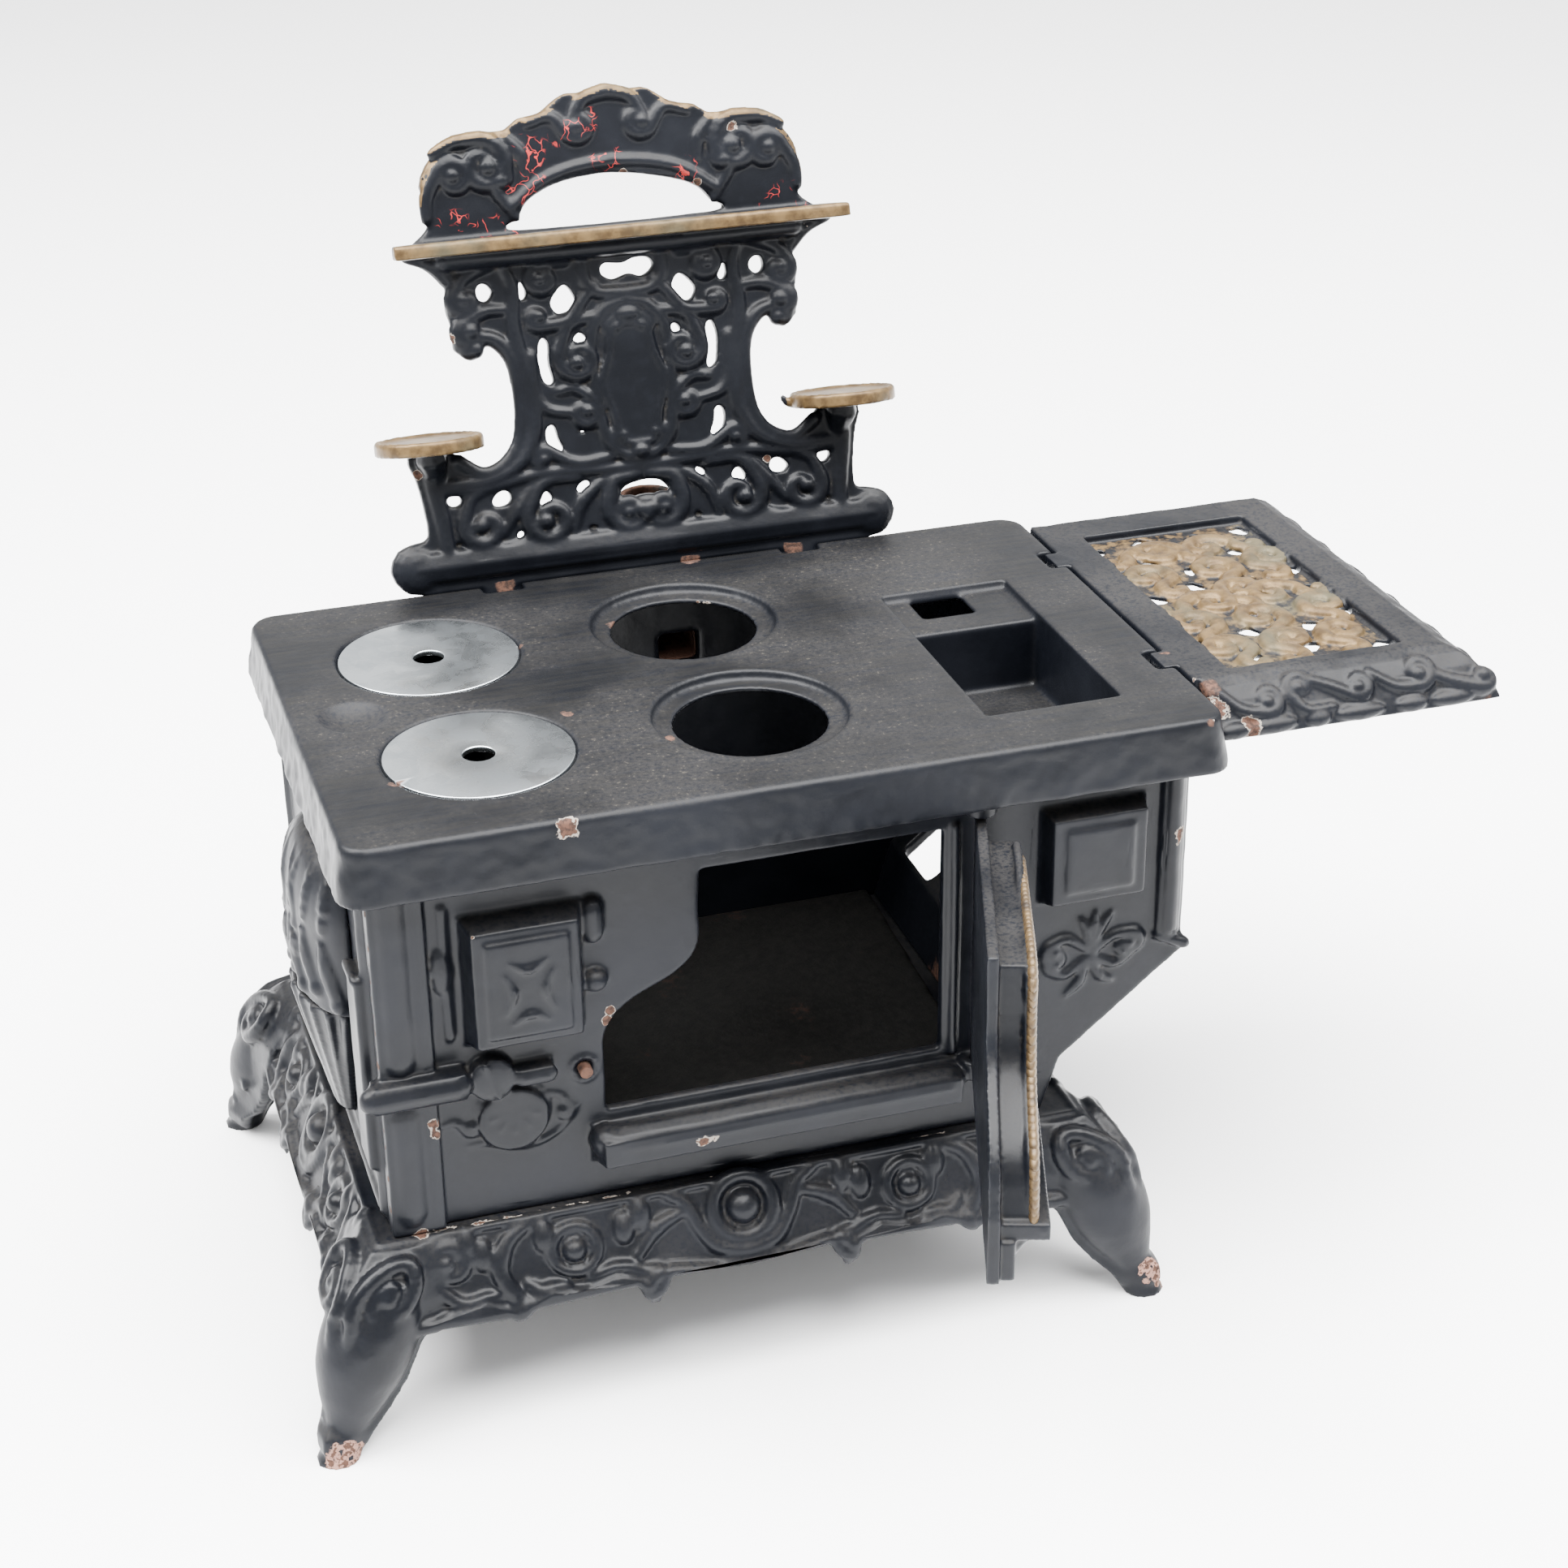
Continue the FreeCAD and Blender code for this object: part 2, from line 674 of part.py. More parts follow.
def tie_bolts():
    """Two long bolts that clamp the plates between the base and the cooking plate."""
    bars = []
    for side, x, y in bolts:
        seat = deck_top - size["deck_thick"]
        bars.append(cylinder("shank_" + side, (x, y, seat), size["bolt_rad"], size["bolt_long"]))
        bars.append(cylinder("head_" + side, (x, y, seat - size["bolt_head_tall"]), size["bolt_head_rad"],
                             size["bolt_head_tall"]))
    keep(fuse("tie_bolts", bars))


# ---------------------------------------------------------------- base

def base_casting():
    """One ring-shaped casting: a flat deck, a flared apron and four cabriole legs."""
    x = size["base_x"]
    half_len, half_dep = size["base_len"] * 0.5, size["base_dep"] * 0.5
    tall = deck_top - size["apron_low"]
    slant = math.degrees(math.atan2(size["apron_flare"].number, tall.number))
    body = new_body("base_ring")
    sketch = new_sketch(body, "XY_Plane", deck_top)
    rectangle(sketch, (x - half_len, -half_dep), (x + half_len, half_dep))
    pad(body, sketch, tall, back=True, taper=slant)
    sketch = new_sketch(body, "XY_Plane", deck_top - size["deck_thick"])
    inset = size["apron_wall"] - 1.5
    rectangle(sketch, (x - half_len + inset, -half_dep + inset), (x + half_len - inset, half_dep - inset))
    hollow = pocket(body, sketch, tall)
    hollow.TaperAngle = slant
    doc.recompute()
    sketch = new_sketch(body, "XY_Plane", deck_top)
    rectangle(sketch, (x - half_len + 18.0, -half_dep + 18.0), (x + half_len - 20.0, half_dep - 18.0))
    pocket(body, sketch, 6.0)

    legs = []
    for name, sx, sy in (("fl", -1, -1), ("fr", 1, -1), ("rl", -1, 1), ("rr", 1, 1)):
        foot_x, foot_y = size["foot_x"] * sx, size["foot_y"] * sy
        rings = [(-24.0, -17.0, 51.0, 9.0, 8.0), (-13.0, -8.5, 35.0, 13.5, 12.0),
                 (-8.0, -5.0, 20.0, 11.0, 9.5), (-3.5, -2.0, 8.5, 6.0, 5.4), (0.0, 0.0, 0.0, 6.2, 5.6)]
        legs.append(oval_loft("leg_" + name, [(foot_x + x + out_x * sx, foot_y + out_y * sy, z, across, deep)
                                              for out_x, out_y, z, across, deep in rings]))
    ring = fuse("base_with_legs", [body] + legs)
    holes = []
    for side, bolt_x, bolt_y in bolts:
        room = 30.0
        holes.append(cylinder("deck_hole_" + side, (bolt_x, bolt_y, deck_top - 16.0),
                              size["bolt_rad"] + 0.32, 20.0))
        holes.append(cylinder("head_room_" + side, (bolt_x, bolt_y, deck_top - room),
                              size["bolt_head_rad"] + 0.6, room - size["deck_thick"]))
    keep(cut("base_casting", ring, fuse("deck_holes", holes)))


# ---------------------------------------------------------------- high back

def mirrored(path):
    """A closed outline from its right half, which runs from the bottom centre to the top centre."""
    left = []
    for step in reversed(path[1:-1]):
        if isinstance(step, list):
            left.append([(-x, z) for x, z in reversed(step)])
        else:
            left.append((-step[0], step[1]))
    return path + left


BACK_HOLES = [  # (x, up the back, half width, half height) of the pierced openings, right half
    (1.4, 88.5, 7.0, 2.6), (17.2, 80.4, 3.6, 3.0), (29.0, 84.5, 1.7, 2.6), (40.0, 85.2, 2.2, 2.2),
    (24.4, 63.0, 1.5, 6.5), (13.8, 68.3, 2.2, 2.0), (15.2, 43.2, 2.0, 1.8), (24.2, 39.3, 1.8, 4.2),
    (56.6, 26.4, 1.8, 2.0), (42.4, 25.2, 2.4, 1.6), (47.9, 16.6, 2.0, 2.2), (56.4, 12.6, 1.6, 1.4),
    (37.2, 13.2, 2.0, 1.4), (28.9, 21.8, 1.6, 3.6), (17.3, 25.0, 2.0, 1.8), (16.0, 12.6, 2.2, 1.4),
]


def high_back():
    """The pierced back panel with its shelf and two small trivets, drawn upright, then leaned."""
    thick = size["back_thick"]
    body = new_body("back_panel")
    sketch = new_sketch(body, "XZ_Plane", 0.0)
    outline(sketch, mirrored([
        (0.0, 0.0), (41.0, 0.0), (41.0, -3.4), (51.5, -3.4), (51.5, 0.0), (71.0, 0.0), [(78.6, 7.6)],
        (71.0, 15.3), (66.0, 16.2), [(67.4, 28.0)], (69.0, 42.4), (55.0, 42.4),
        [(52.5, 36.6), (46.8, 34.7), (41.0, 38.0), (36.4, 46.0), (35.0, 56.0)], (36.4, 65.0),
        [(41.0, 69.8), (48.0, 68.6)], (54.2, 72.0), [(55.2, 77.0), (53.0, 82.0)], (52.6, 89.0),
        (64.0, 97.0), (58.6, 102.0), [(54.8, 112.0)], (56.2, 118.6), [(50.6, 126.0)], (43.0, 130.8),
        [(34.0, 130.6)], (26.0, 133.6), [(16.0, 137.2)], (12.5, 139.2), [(6.0, 139.6)], (0.0, 141.6)]))
    pad(body, sketch, thick, back=True)
    sketch = new_sketch(body, "XZ_Plane", 0.0)
    outline(sketch, [(-29.0, 101.6), (29.0, 101.6), (28.8, 106.0),
                     [(23.6, 111.2), (12.0, 114.8), (0.0, 116.2), (-12.0, 114.8), (-23.6, 111.2)],
                     (-28.8, 106.0)])
    pocket(body, sketch, thick + 1.0)
    sketch = new_sketch(body, "XZ_Plane", 0.0)
    for x, up, half_wide, half_tall in BACK_HOLES:
        for side in ((1.0,) if x < 3.0 else (-1.0, 1.0)):
            rectangle(sketch, (x * side - half_wide, up - half_tall), (x * side + half_wide, up + half_tall))
    pocket(body, sketch, thick + 1.0)
    sketch = new_sketch(body, "XZ_Plane", 0.0)
    outline(sketch, mirrored([(0.0, 33.5), (8.0, 34.5), [(11.0, 55.0)], (8.0, 76.0), (0.0, 77.8)]))
    pad(body, sketch, 2.4)

    lean = size["back_lean"].number
    shelf_top = size["shelf_top"]
    parts = [body, box("back_shelf", (-size["shelf_half"], -size["shelf_reach"], shelf_top - 4.4),
                      (size["shelf_half"], 2.0, shelf_top))]
    for side in (-1.0, 1.0):
        foot = (size["trivet_x"] * side, -3.0, size["trivet_top"] - size["trivet_thick"])
        parts.append(cylinder("trivet", foot, size["trivet_rad"], size["trivet_thick"]))
    whole = fuse("high_back", parts)
    keep(whole, Placement(Vector(size["back_x"].number, size["back_y"].number, plate_top.number),
                          Rotation(Vector(1, 0, 0), -lean)))


# ---------------------------------------------------------------- side shelf

def side_shelf():
    """The end shelf: a flat frame round an openwork panel, a flared skirt and two hooked lugs."""
    left = size["plate_len"] * 0.5 + size["side_gap"]
    top = plate_top - 0.3
    body = new_body("shelf_frame")
    sketch = new_sketch(body, "XY_Plane", top)
    outline(sketch, [(left, size["side_front"]), (size["side_right"], size["side_front"] + 2.0),
                     (size["side_right"], size["side_back"]), (left, size["side_back"])])
    pad(body, sketch, size["side_thick"], back=True)
    sketch = new_sketch(body, "XY_Plane", top)
    for row in range(6):
        for column in range(4):
            low_x, low_y = 137.0 + column * 12.2, -45.0 + row * 15.2
            rectangle(sketch, (low_x, low_y), (low_x + 7.0, low_y + 9.0))
    pocket(body, sketch, size["side_thick"] + 1.0)
    clear = size["rim_flare"]
    sketch = new_sketch(body, "YZ_Plane", left + clear)
    front = size["side_front"]
    hem = top - size["side_skirt"]
    outline(sketch, [(front + 0.5, top), (front - 8.0, top - 5.0), (front - 13.5, hem), (front - 11.0, hem),
                     (front - 5.0, top - 7.5), (front + 3.0, top - 3.9)])
    pad(body, sketch, 80.0 - clear)
    sketch = new_sketch(body, "XZ_Plane", -size["side_front"])
    right = size["side_right"]
    outline(sketch, [(right - 0.5, top), (right + 8.0, top - 5.0), (right + 14.5, hem + 2.0),
                     (right + 12.0, hem + 1.0), (right + 5.0, top - 7.5), (right - 3.0, top - 3.9)])
    pad(body, sketch, size["side_back"] - size["side_front"], back=True)
    corner = oval_loft("shelf_corner", [(right + 1.0, front + 1.0, top - 1.0, 3.0, 3.0),
                                        (right + 7.0, front - 6.0, top - 12.0, 8.0, 7.0)])
    lugs = []
    for name in ("notch_front", "notch_back"):
        lugs.append(box("lug", (left - 4.0, size[name] - 5.2, top - 3.4),
                        (left + 3.0, size[name] + 5.2, top)))
    keep(fuse("side_shelf", [body, corner] + lugs))


# ---------------------------------------------------------------- oven door

def oven_door():
    """The oven door, drawn shut about its hinge line and then swung open."""
    low, high, reach = size["door_low"], size["door_high"], size["door_reach"]
    half = size["door_thick"] * 0.5
    body = new_body("door_slab")
    sketch = new_sketch(body, "XZ_Plane", half)
    outline(sketch, [(1.8, low), (1.8, high), (-75.0, high), (-76.0, 140.0),
                     [(-83.0, 125.6), (-97.0, 117.4)], (-103.6, 108.0), (-reach, 100.0), (-reach, low)])
    pad(body, sketch, size["door_thick"], back=True)
    sketch = new_sketch(body, "XZ_Plane", half)
    outline(sketch, [(-5.0, low + 15.0), (-5.0, high - 5.0), (-70.0, high - 5.0), (-71.0, 138.0),
                     [(-79.0, 121.0), (-92.0, 113.0)], (-98.0, 105.0), (-100.5, low + 15.0)])
    pad(body, sketch, size["door_panel"])
    sketch = new_sketch(body, "XZ_Plane", half)
    rectangle(sketch, (-102.5, low + 11.0), (-5.0, low + 16.0))
    pad(body, sketch, size["door_ledge"])
    sketch = new_sketch(body, "XZ_Plane", half)
    outline(sketch, [(-104.0, low), (-94.0, low), (-88.0, low + 11.5), (-104.0, low + 11.5)])
    pad(body, sketch, 4.0)
    pin_low = cylinder("pintle_low", (0.0, 0.0, 76.6), size["pintle_rad"], 6.0)
    pin_high = cylinder("pintle_high", (0.0, 0.0, 154.0), size["pintle_rad"], 5.2)
    whole = fuse("oven_door", [body, pin_low, pin_high])
    keep(whole, Placement(Vector(size["hinge_x"].number, size["hinge_y"].number, 0),
                          Rotation(Vector(0, 0, 1), size["door_open"].number)))


def build_all():
    base_casting()
    cooking_plate()
    lids()
    front_plate()
    back_plate()
    left_end_plate()
    right_end_plate()
    inner_plates()
    fire_end()
    flue_collar()
    tie_bolts()
    high_back()
    side_shelf()
    oven_door()


def check_and_write():
    """Stop on anything that failed, then write one STEP file for each piece."""
    doc.recompute()
    for obj in doc.Objects:
        if "Invalid" in obj.State or "Error" in obj.State:
            raise RuntimeError("%s failed: %s" % (obj.Label, obj.State))
    for node in NODES:
        if node.Shape.isNull() or not node.Shape.isValid() or not node.Shape.Solids:
            raise RuntimeError("%s has no valid solid" % node.Label)
    os.makedirs("parts", exist_ok=True)
    for node in NODES:
        node.Shape.exportStep("parts/%s.step" % node.Label)
        span = node.Shape.BoundBox
        print("%-16s %d solid(s) %8.0f mm3  x %.1f..%.1f  y %.1f..%.1f  z %.1f..%.1f" % (
            node.Label, len(node.Shape.Solids), node.Shape.Volume, span.XMin, span.XMax,
            span.YMin, span.YMax, span.ZMin, span.ZMax))


build_all()
check_and_write()
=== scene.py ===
"""Toy cast-iron cooking range: the looks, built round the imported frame.

Pieces are drawn in millimetres about the middle of the cooking plate, with the floor at
zero, and are turned into metres in the frame's own place when they are finished.
"""
import math

import bmesh
import bpy
import numpy as np
from bpy.props import FloatProperty, FloatVectorProperty, PointerProperty
from mathutils import Matrix, Vector, noise
from mathutils.geometry import tessellate_polygon


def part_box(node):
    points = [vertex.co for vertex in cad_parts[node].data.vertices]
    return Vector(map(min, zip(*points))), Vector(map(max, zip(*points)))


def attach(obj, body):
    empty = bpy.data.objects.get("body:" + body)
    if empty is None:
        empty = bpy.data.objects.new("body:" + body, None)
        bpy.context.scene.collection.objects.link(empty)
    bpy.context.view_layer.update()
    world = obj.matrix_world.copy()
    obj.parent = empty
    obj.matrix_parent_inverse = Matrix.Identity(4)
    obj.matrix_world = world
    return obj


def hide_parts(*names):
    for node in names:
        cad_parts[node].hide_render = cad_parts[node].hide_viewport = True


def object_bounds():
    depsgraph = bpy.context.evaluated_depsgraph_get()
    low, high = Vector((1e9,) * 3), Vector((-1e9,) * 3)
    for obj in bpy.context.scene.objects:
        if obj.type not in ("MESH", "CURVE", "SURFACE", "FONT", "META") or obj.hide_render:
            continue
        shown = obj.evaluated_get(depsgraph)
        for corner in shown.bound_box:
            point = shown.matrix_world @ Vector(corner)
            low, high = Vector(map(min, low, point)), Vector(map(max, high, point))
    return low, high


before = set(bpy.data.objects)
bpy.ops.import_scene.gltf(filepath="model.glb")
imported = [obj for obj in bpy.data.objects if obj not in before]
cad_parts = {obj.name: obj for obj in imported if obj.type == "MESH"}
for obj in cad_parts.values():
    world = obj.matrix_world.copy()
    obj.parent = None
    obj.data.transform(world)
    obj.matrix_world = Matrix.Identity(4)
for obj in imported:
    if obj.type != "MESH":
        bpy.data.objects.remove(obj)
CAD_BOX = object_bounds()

bl_info = {
    "name": "Toy cast-iron range",
    "version": (1, 0, 0),
    "blender": (4, 5, 0),
    "location": "View3D > Sidebar > Toy Range",
    "description": "Builds the enamelled castings, lids, gilding and wear of a toy cooking range",
    "category": "Object",
}

MM = 0.001
PLATE_LOW, PLATE_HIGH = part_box("top_plate")
MIDDLE = Vector(((PLATE_LOW[0] + PLATE_HIGH[0]) / 2, (PLATE_LOW[1] + PLATE_HIGH[1]) / 2, 0.0))
PLATE_TOP = PLATE_HIGH[2] / MM
TO_FRAME = Matrix.Translation(MIDDLE) @ Matrix.Scale(MM, 4)
INSIDE = [(np.array(corner) - np.array(MIDDLE)) / MM + gap for corner, gap in zip(CAD_BOX, (0.02, -0.02))]
WORN_FOOT = 13.0     # below this height the feet show primer but no rust
CHIP_LIMIT = 0.52    # the chip mark that stops short of rust


def node_box(name):
    """A CAD node's corners in millimetres about the middle of the cooking plate."""
    low, high = (Vector(corner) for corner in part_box(name))
    return (low - MIDDLE) / MM, (high - MIDDLE) / MM


# ------------------------------------------------------------------ shader maths

class Value:
    """One socket of a material, so that shader maths reads as an expression."""

    def __init__(self, paint, socket):
        self.paint = paint
        self.socket = socket

    def maths(self, operation, first, second):
        return self.paint.node("ShaderNodeMath", {"operation": operation}, {0: first, 1: second})

    def __add__(self, other):
        return self.maths("ADD", self, other)

    def __sub__(self, other):
        return self.maths("SUBTRACT", self, other)

    def __rsub__(self, other):
        return self.maths("SUBTRACT", other, self)

    def __mul__(self, other):
        return self.maths("MULTIPLY", self, other)

    def clear_of(self, low, high):
        """0 below low, 1 above high and a smooth step between them."""
        return self.paint.node("ShaderNodeMapRange", {"interpolation_type": "SMOOTHSTEP"},
                               {"Value": self, "From Min": low, "From Max": high})

    def most(self, other):
        return self.maths("MAXIMUM", self, other)

    def least(self, other):
        return self.maths("MINIMUM", self, other)


class Paint:
    """A material and its nodes."""

    def __init__(self, name):
        self.material = bpy.data.materials.new(name)
        self.material.use_nodes = True
        self.tree = self.material.node_tree
        self.shader = next(n for n in self.tree.nodes if n.type == "BSDF_PRINCIPLED")

    def node(self, kind, settings=None, inputs=None, out=0):
        """Add a node: its settings first, then the values or links of its sockets."""
        made = self.tree.nodes.new(kind)
        for key, value in (settings or {}).items():
            setattr(made, key, value)
        for key, value in (inputs or {}).items():
            self.feed(made, key, value)
        if isinstance(out, str):
            return Value(self, next(s for s in made.outputs if out in (s.identifier, s.name)))
        return Value(self, made.outputs[out])

    def feed(self, made, key, value):
        """Give a socket a value or a link."""
        if isinstance(key, int):
            socket = made.inputs[key]
        else:
            socket = next((s for s in made.inputs if s.identifier == key), None) or made.inputs[key]
        if isinstance(value, Value):
            self.tree.links.new(value.socket, socket)
        elif socket.type == "RGBA":
            socket.default_value = (*value, 1.0)
        else:
            socket.default_value = value

    def set(self, **values):
        """Feed the Principled shader; underscores stand for spaces."""
        for key, value in values.items():
            self.feed(self.shader, key.replace("_", " "), value)
        return self

    def place(self):
        return self.node("ShaderNodeTexCoord", out="Object")

    def attribute(self, name):
        return self.node("ShaderNodeAttribute", {"attribute_name": name}, out="Fac")

    def grain(self, scale, detail=3.0, rough=0.55, warp=0.0, where=None):
        """Noise from 0 to 1; scale is in features to the metre."""
        return self.node("ShaderNodeTexNoise", None,
                         {"Vector": where or self.place(), "Scale": scale, "Detail": detail,
                          "Roughness": rough, "Distortion": warp}, out="Fac")

    def blend(self, factor, first, second):
        """Mix two colours."""
        return self.node("ShaderNodeMix", {"data_type": "RGBA"},
                         {"Factor_Float": factor, "A_Color": first, "B_Color": second}, out="Result_Color")

    def between(self, factor, first, second):
        """Mix two numbers."""
        return self.node("ShaderNodeMix", {"data_type": "FLOAT"},
                         {"Factor_Float": factor, "A_Float": first, "B_Float": second}, out="Result_Float")

    def upward(self):
        """How far a surface faces up, from -1 to 1."""
        normal = self.node("ShaderNodeNewGeometry", out="Normal")
        return self.node("ShaderNodeSeparateXYZ", None, {"Vector": normal}, out="Z")

    def bump(self, height, strength, distance):
        return self.node("ShaderNodeBump", None,
                         {"Strength": strength, "Distance": distance, "Height": height}, out="Normal")


def enamel(name, colours, rub=0.35, gloss=0.36, dust=0.5, flat=False):
    """Old black stove enamel over cast iron: dusty, rubbed at the edges, chipped to primer and rust; a flat
    plate's top also gets warm grey streaks, partly wear and partly a painted sheen.
    """
    paint = Paint(name)
    broad, fine = paint.grain(22.0, 4.0), paint.grain(260.0, 5.0, 0.6)
    speck = paint.grain(900.0, 2.0)
    edge = paint.attribute("edge")
    body = paint.blend(broad.clear_of(0.35, 0.7), colours.enamel_deep, colours.enamel_lift)
    body = paint.blend(fine.clear_of(0.45, 0.75) * 0.35, body, colours.enamel_lift)
    hollow = (0.0 - edge).clear_of(0.15, 0.9)
    film = (paint.upward().clear_of(0.2, 0.95) * broad.clear_of(0.3, 0.65) * 0.55).most(hollow * 0.7)
    film = film * speck.clear_of(0.25, 0.6) * dust
    body = paint.blend(film, body, colours.dust)
    if flat:
        # warm grey streaks on the plate's top: partly wear marks, partly a painted sheen where light falls on
        # the top
        along = paint.node("ShaderNodeVectorMath", {"operation": "MULTIPLY"},
                           {0: paint.place(), 1: (0.07, 1.0, 1.0)})
        sheen_streak = paint.grain(420.0, 4.0, 0.65, where=along)
        top = paint.upward().clear_of(0.9, 0.99)
        body = paint.blend(top * sheen_streak.clear_of(0.2, 0.85) * 0.6, body, colours.plate_streaks_and_sheen)
        body = paint.blend(top * speck.clear_of(0.66, 0.7) * broad.clear_of(0.4, 0.6) * 0.6, body,
                           colours.dust)
    rubbed = (edge.clear_of(0.35, 1.0) * fine.clear_of(0.38, 0.62) * rub).least(1.0)
    body = paint.blend(rubbed, body, colours.rubbed)
    gilt = (paint.attribute("gilt") + (fine - 0.5) * 0.5 - hollow * 0.15).clear_of(0.46, 0.58)
    gold = paint.blend(fine.clear_of(0.3, 0.7), colours.gilt_deep, colours.gilt)
    gold = paint.blend(broad.clear_of(0.5, 0.64) * 0.6, gold, colours.gilt_worn)
    body = paint.blend(gilt, body, gold)
    shake = paint.node("ShaderNodeTexNoise", None, {"Vector": paint.place(), "Scale": 160.0}, out="Color")
    shaken = paint.node("ShaderNodeVectorMath", {"operation": "MULTIPLY_ADD"},
                        {0: shake, 1: (0.012, 0.012, 0.012), 2: paint.place()})
    cells = paint.node("ShaderNodeTexVoronoi", {"feature": "DISTANCE_TO_EDGE"},
                       {"Vector": shaken, "Scale": 190.0}, out="Distance")
    crazed = paint.attribute("crackle")
    crack = crazed.clear_of(0.3, 0.5) * (1.0 - cells.clear_of(0.012, 0.035))
    crack = crack * paint.grain(130.0, 2.0).clear_of(0.5, 0.58)
    crack = crack.most((crazed + (fine - 0.5) * 0.7).clear_of(0.92, 0.94))
    body = paint.blend(crack, body, colours.red)
    chip = paint.attribute("chip") + (fine - 0.5) * 0.6 + (paint.grain(560.0, 2.0) - 0.5) * 0.3
    pale = chip.clear_of(0.46, 0.5)
    core = (chip + (speck - 0.5) * 0.3).clear_of(0.52, 0.56)
    above_floor = paint.node("ShaderNodeSeparateXYZ", None, {"Vector": paint.place()}, out="Z")
    coat = paint.blend(above_floor.clear_of(0.012, 0.014), colours.primer_foot, colours.primer)
    body = paint.blend(pale, body, coat)
    iron = paint.blend(speck.clear_of(0.35, 0.65), colours.rust_deep, colours.rust)
    body = paint.blend(core, body, iron)
    rusty = (paint.attribute("rust") + (fine - 0.5) * 0.6).clear_of(0.45, 0.6)
    body = paint.blend(rusty, body, iron)
    rough = paint.between(broad.clear_of(0.3, 0.7), gloss - 0.05, gloss + 0.08)
    rough = paint.between(film.clear_of(0.0, 0.6), rough, 0.72)
    rough = paint.between(pale.most(rusty), rough, 0.85)
    height = fine * 0.35 + paint.grain(90.0, 3.0) * 0.9 + speck * 0.08 - pale * 0.8 + rusty * speck
    paint.set(Base_Color=body, Roughness=rough, Metallic=gilt * (1.0 - pale) * 0.35,
              Normal=paint.bump(height, 0.35, 0.0005), Specular_IOR_Level=0.13)
    return paint.material


def zinc(name, colours):
    """Bright plated steel with soft spangles, hairlines and a little rust at the rim."""
    paint = Paint(name)
    cells = paint.node("ShaderNodeTexVoronoi", {"feature": "F1"}, {"Vector": paint.place(), "Scale": 210.0},
                       out="Color")
    shade = paint.node("ShaderNodeSeparateColor", None, {"Color": cells}, out="Red")
    broad, fine = paint.grain(60.0, 4.0, 0.6, 0.6), paint.grain(700.0, 3.0)
    tone = (shade * 0.35 + broad.clear_of(0.3, 0.7) * 0.65).clear_of(0.1, 0.9)
    body = paint.blend(tone, colours.zinc_deep, colours.zinc)
    stain = (paint.attribute("rust") + (broad - 0.5) * 0.5).clear_of(0.5, 0.7)
    body = paint.blend(stain, body, colours.rust)
    rough = paint.between(tone, 0.34, 0.22)
    paint.set(Base_Color=body, Metallic=1.0 - stain * 0.8, Roughness=paint.between(stain, rough, 0.8),
              Normal=paint.bump(broad * 0.5 + fine * 0.2, 0.12, 0.0003))
    return paint.material


def bare_iron(name, deep, light, rust, amount):
    """Unpainted iron inside the range, dusty and rusted in patches."""
    paint = Paint(name)
    broad, fine = paint.grain(35.0, 5.0, 0.6), paint.grain(400.0, 5.0, 0.65)
    body = paint.blend(fine.clear_of(0.3, 0.7), deep, light)
    patch = (broad + (fine - 0.5) * 0.5).clear_of(0.72 - amount * 0.4, 0.85 - amount * 0.4)
    body = paint.blend(patch, body, rust)
    paint.set(Base_Color=body, Roughness=paint.between(patch, 0.7, 0.92), Specular_IOR_Level=0.15,
              Normal=paint.bump(fine + broad * 0.6, 0.5, 0.0005))
    return paint.material


def gilding(name, colours):
    """Old gold paint, rubbed dark on the high places."""
    paint = Paint(name)
    broad, fine = paint.grain(60.0, 4.0), paint.grain(500.0, 4.0)
    body = paint.blend(fine.clear_of(0.3, 0.7), colours.gilt_deep, colours.gilt)
    body = paint.blend(broad.clear_of(0.5, 0.75) * 0.8, body, colours.enamel_lift)
    paint.set(Base_Color=body, Roughness=paint.between(broad, 0.4, 0.6), Metallic=0.5,
              Normal=paint.bump(fine, 0.3, 0.0003))
    return paint.material


# ------------------------------------------------------------------ settings

def swatch(title, note, value):
    """A colour setting."""
    return FloatVectorProperty(name=title, description=note, default=value, subtype="COLOR", min=0, max=1)


class RangeColours(bpy.types.PropertyGroup):
    """The finishes that a user would change."""
    enamel_deep: swatch("Enamel", "Deep tone of the black enamel", (0.0017, 0.0021, 0.0033))
    enamel_lift: swatch("Enamel, lifted", "Lighter cloudy tone of the enamel", (0.0043, 0.0050, 0.0072))
    rubbed: swatch("Rubbed edge", "Enamel worn thin on the edges", (0.016, 0.017, 0.020))
    # colour of the plate's streaks: warm grey wear marks that also carry a painted sheen on the plate's top
    plate_streaks_and_sheen: swatch("Plate streaks", "Warm grey marks on the cooking plate", (0.0086, 0.0080, 0.0068))
    dust: swatch("Dust", "Warm grey film of dust", (0.036, 0.032, 0.026))
    gilt: swatch("Gilding", "Old gold paint", (0.100, 0.064, 0.028))
    gilt_deep: swatch("Gilding, deep", "Dark tone of the gold paint", (0.042, 0.026, 0.012))
    gilt_worn: swatch("Gilding, worn", "Gold paint rubbed down to a grey green", (0.050, 0.054, 0.038))
    red: swatch("Old red", "Red lines where an older coat shows", (0.24, 0.020, 0.018))
    primer: swatch("Primer", "Pale coat under the enamel", (0.20, 0.175, 0.15))
    primer_foot: swatch("Primer on the feet", "Pink coat under the enamel of the feet", (0.22, 0.125, 0.095))
    rust: swatch("Rust", "Bright rust", (0.062, 0.031, 0.021))
    rust_deep: swatch("Rust, deep", "Brown rust", (0.024, 0.014, 0.011))
    zinc: swatch("Zinc", "Plated lids", (0.62, 0.66, 0.68))
    zinc_deep: swatch("Zinc, dull", "Dull patches of the lids", (0.36, 0.39, 0.41))


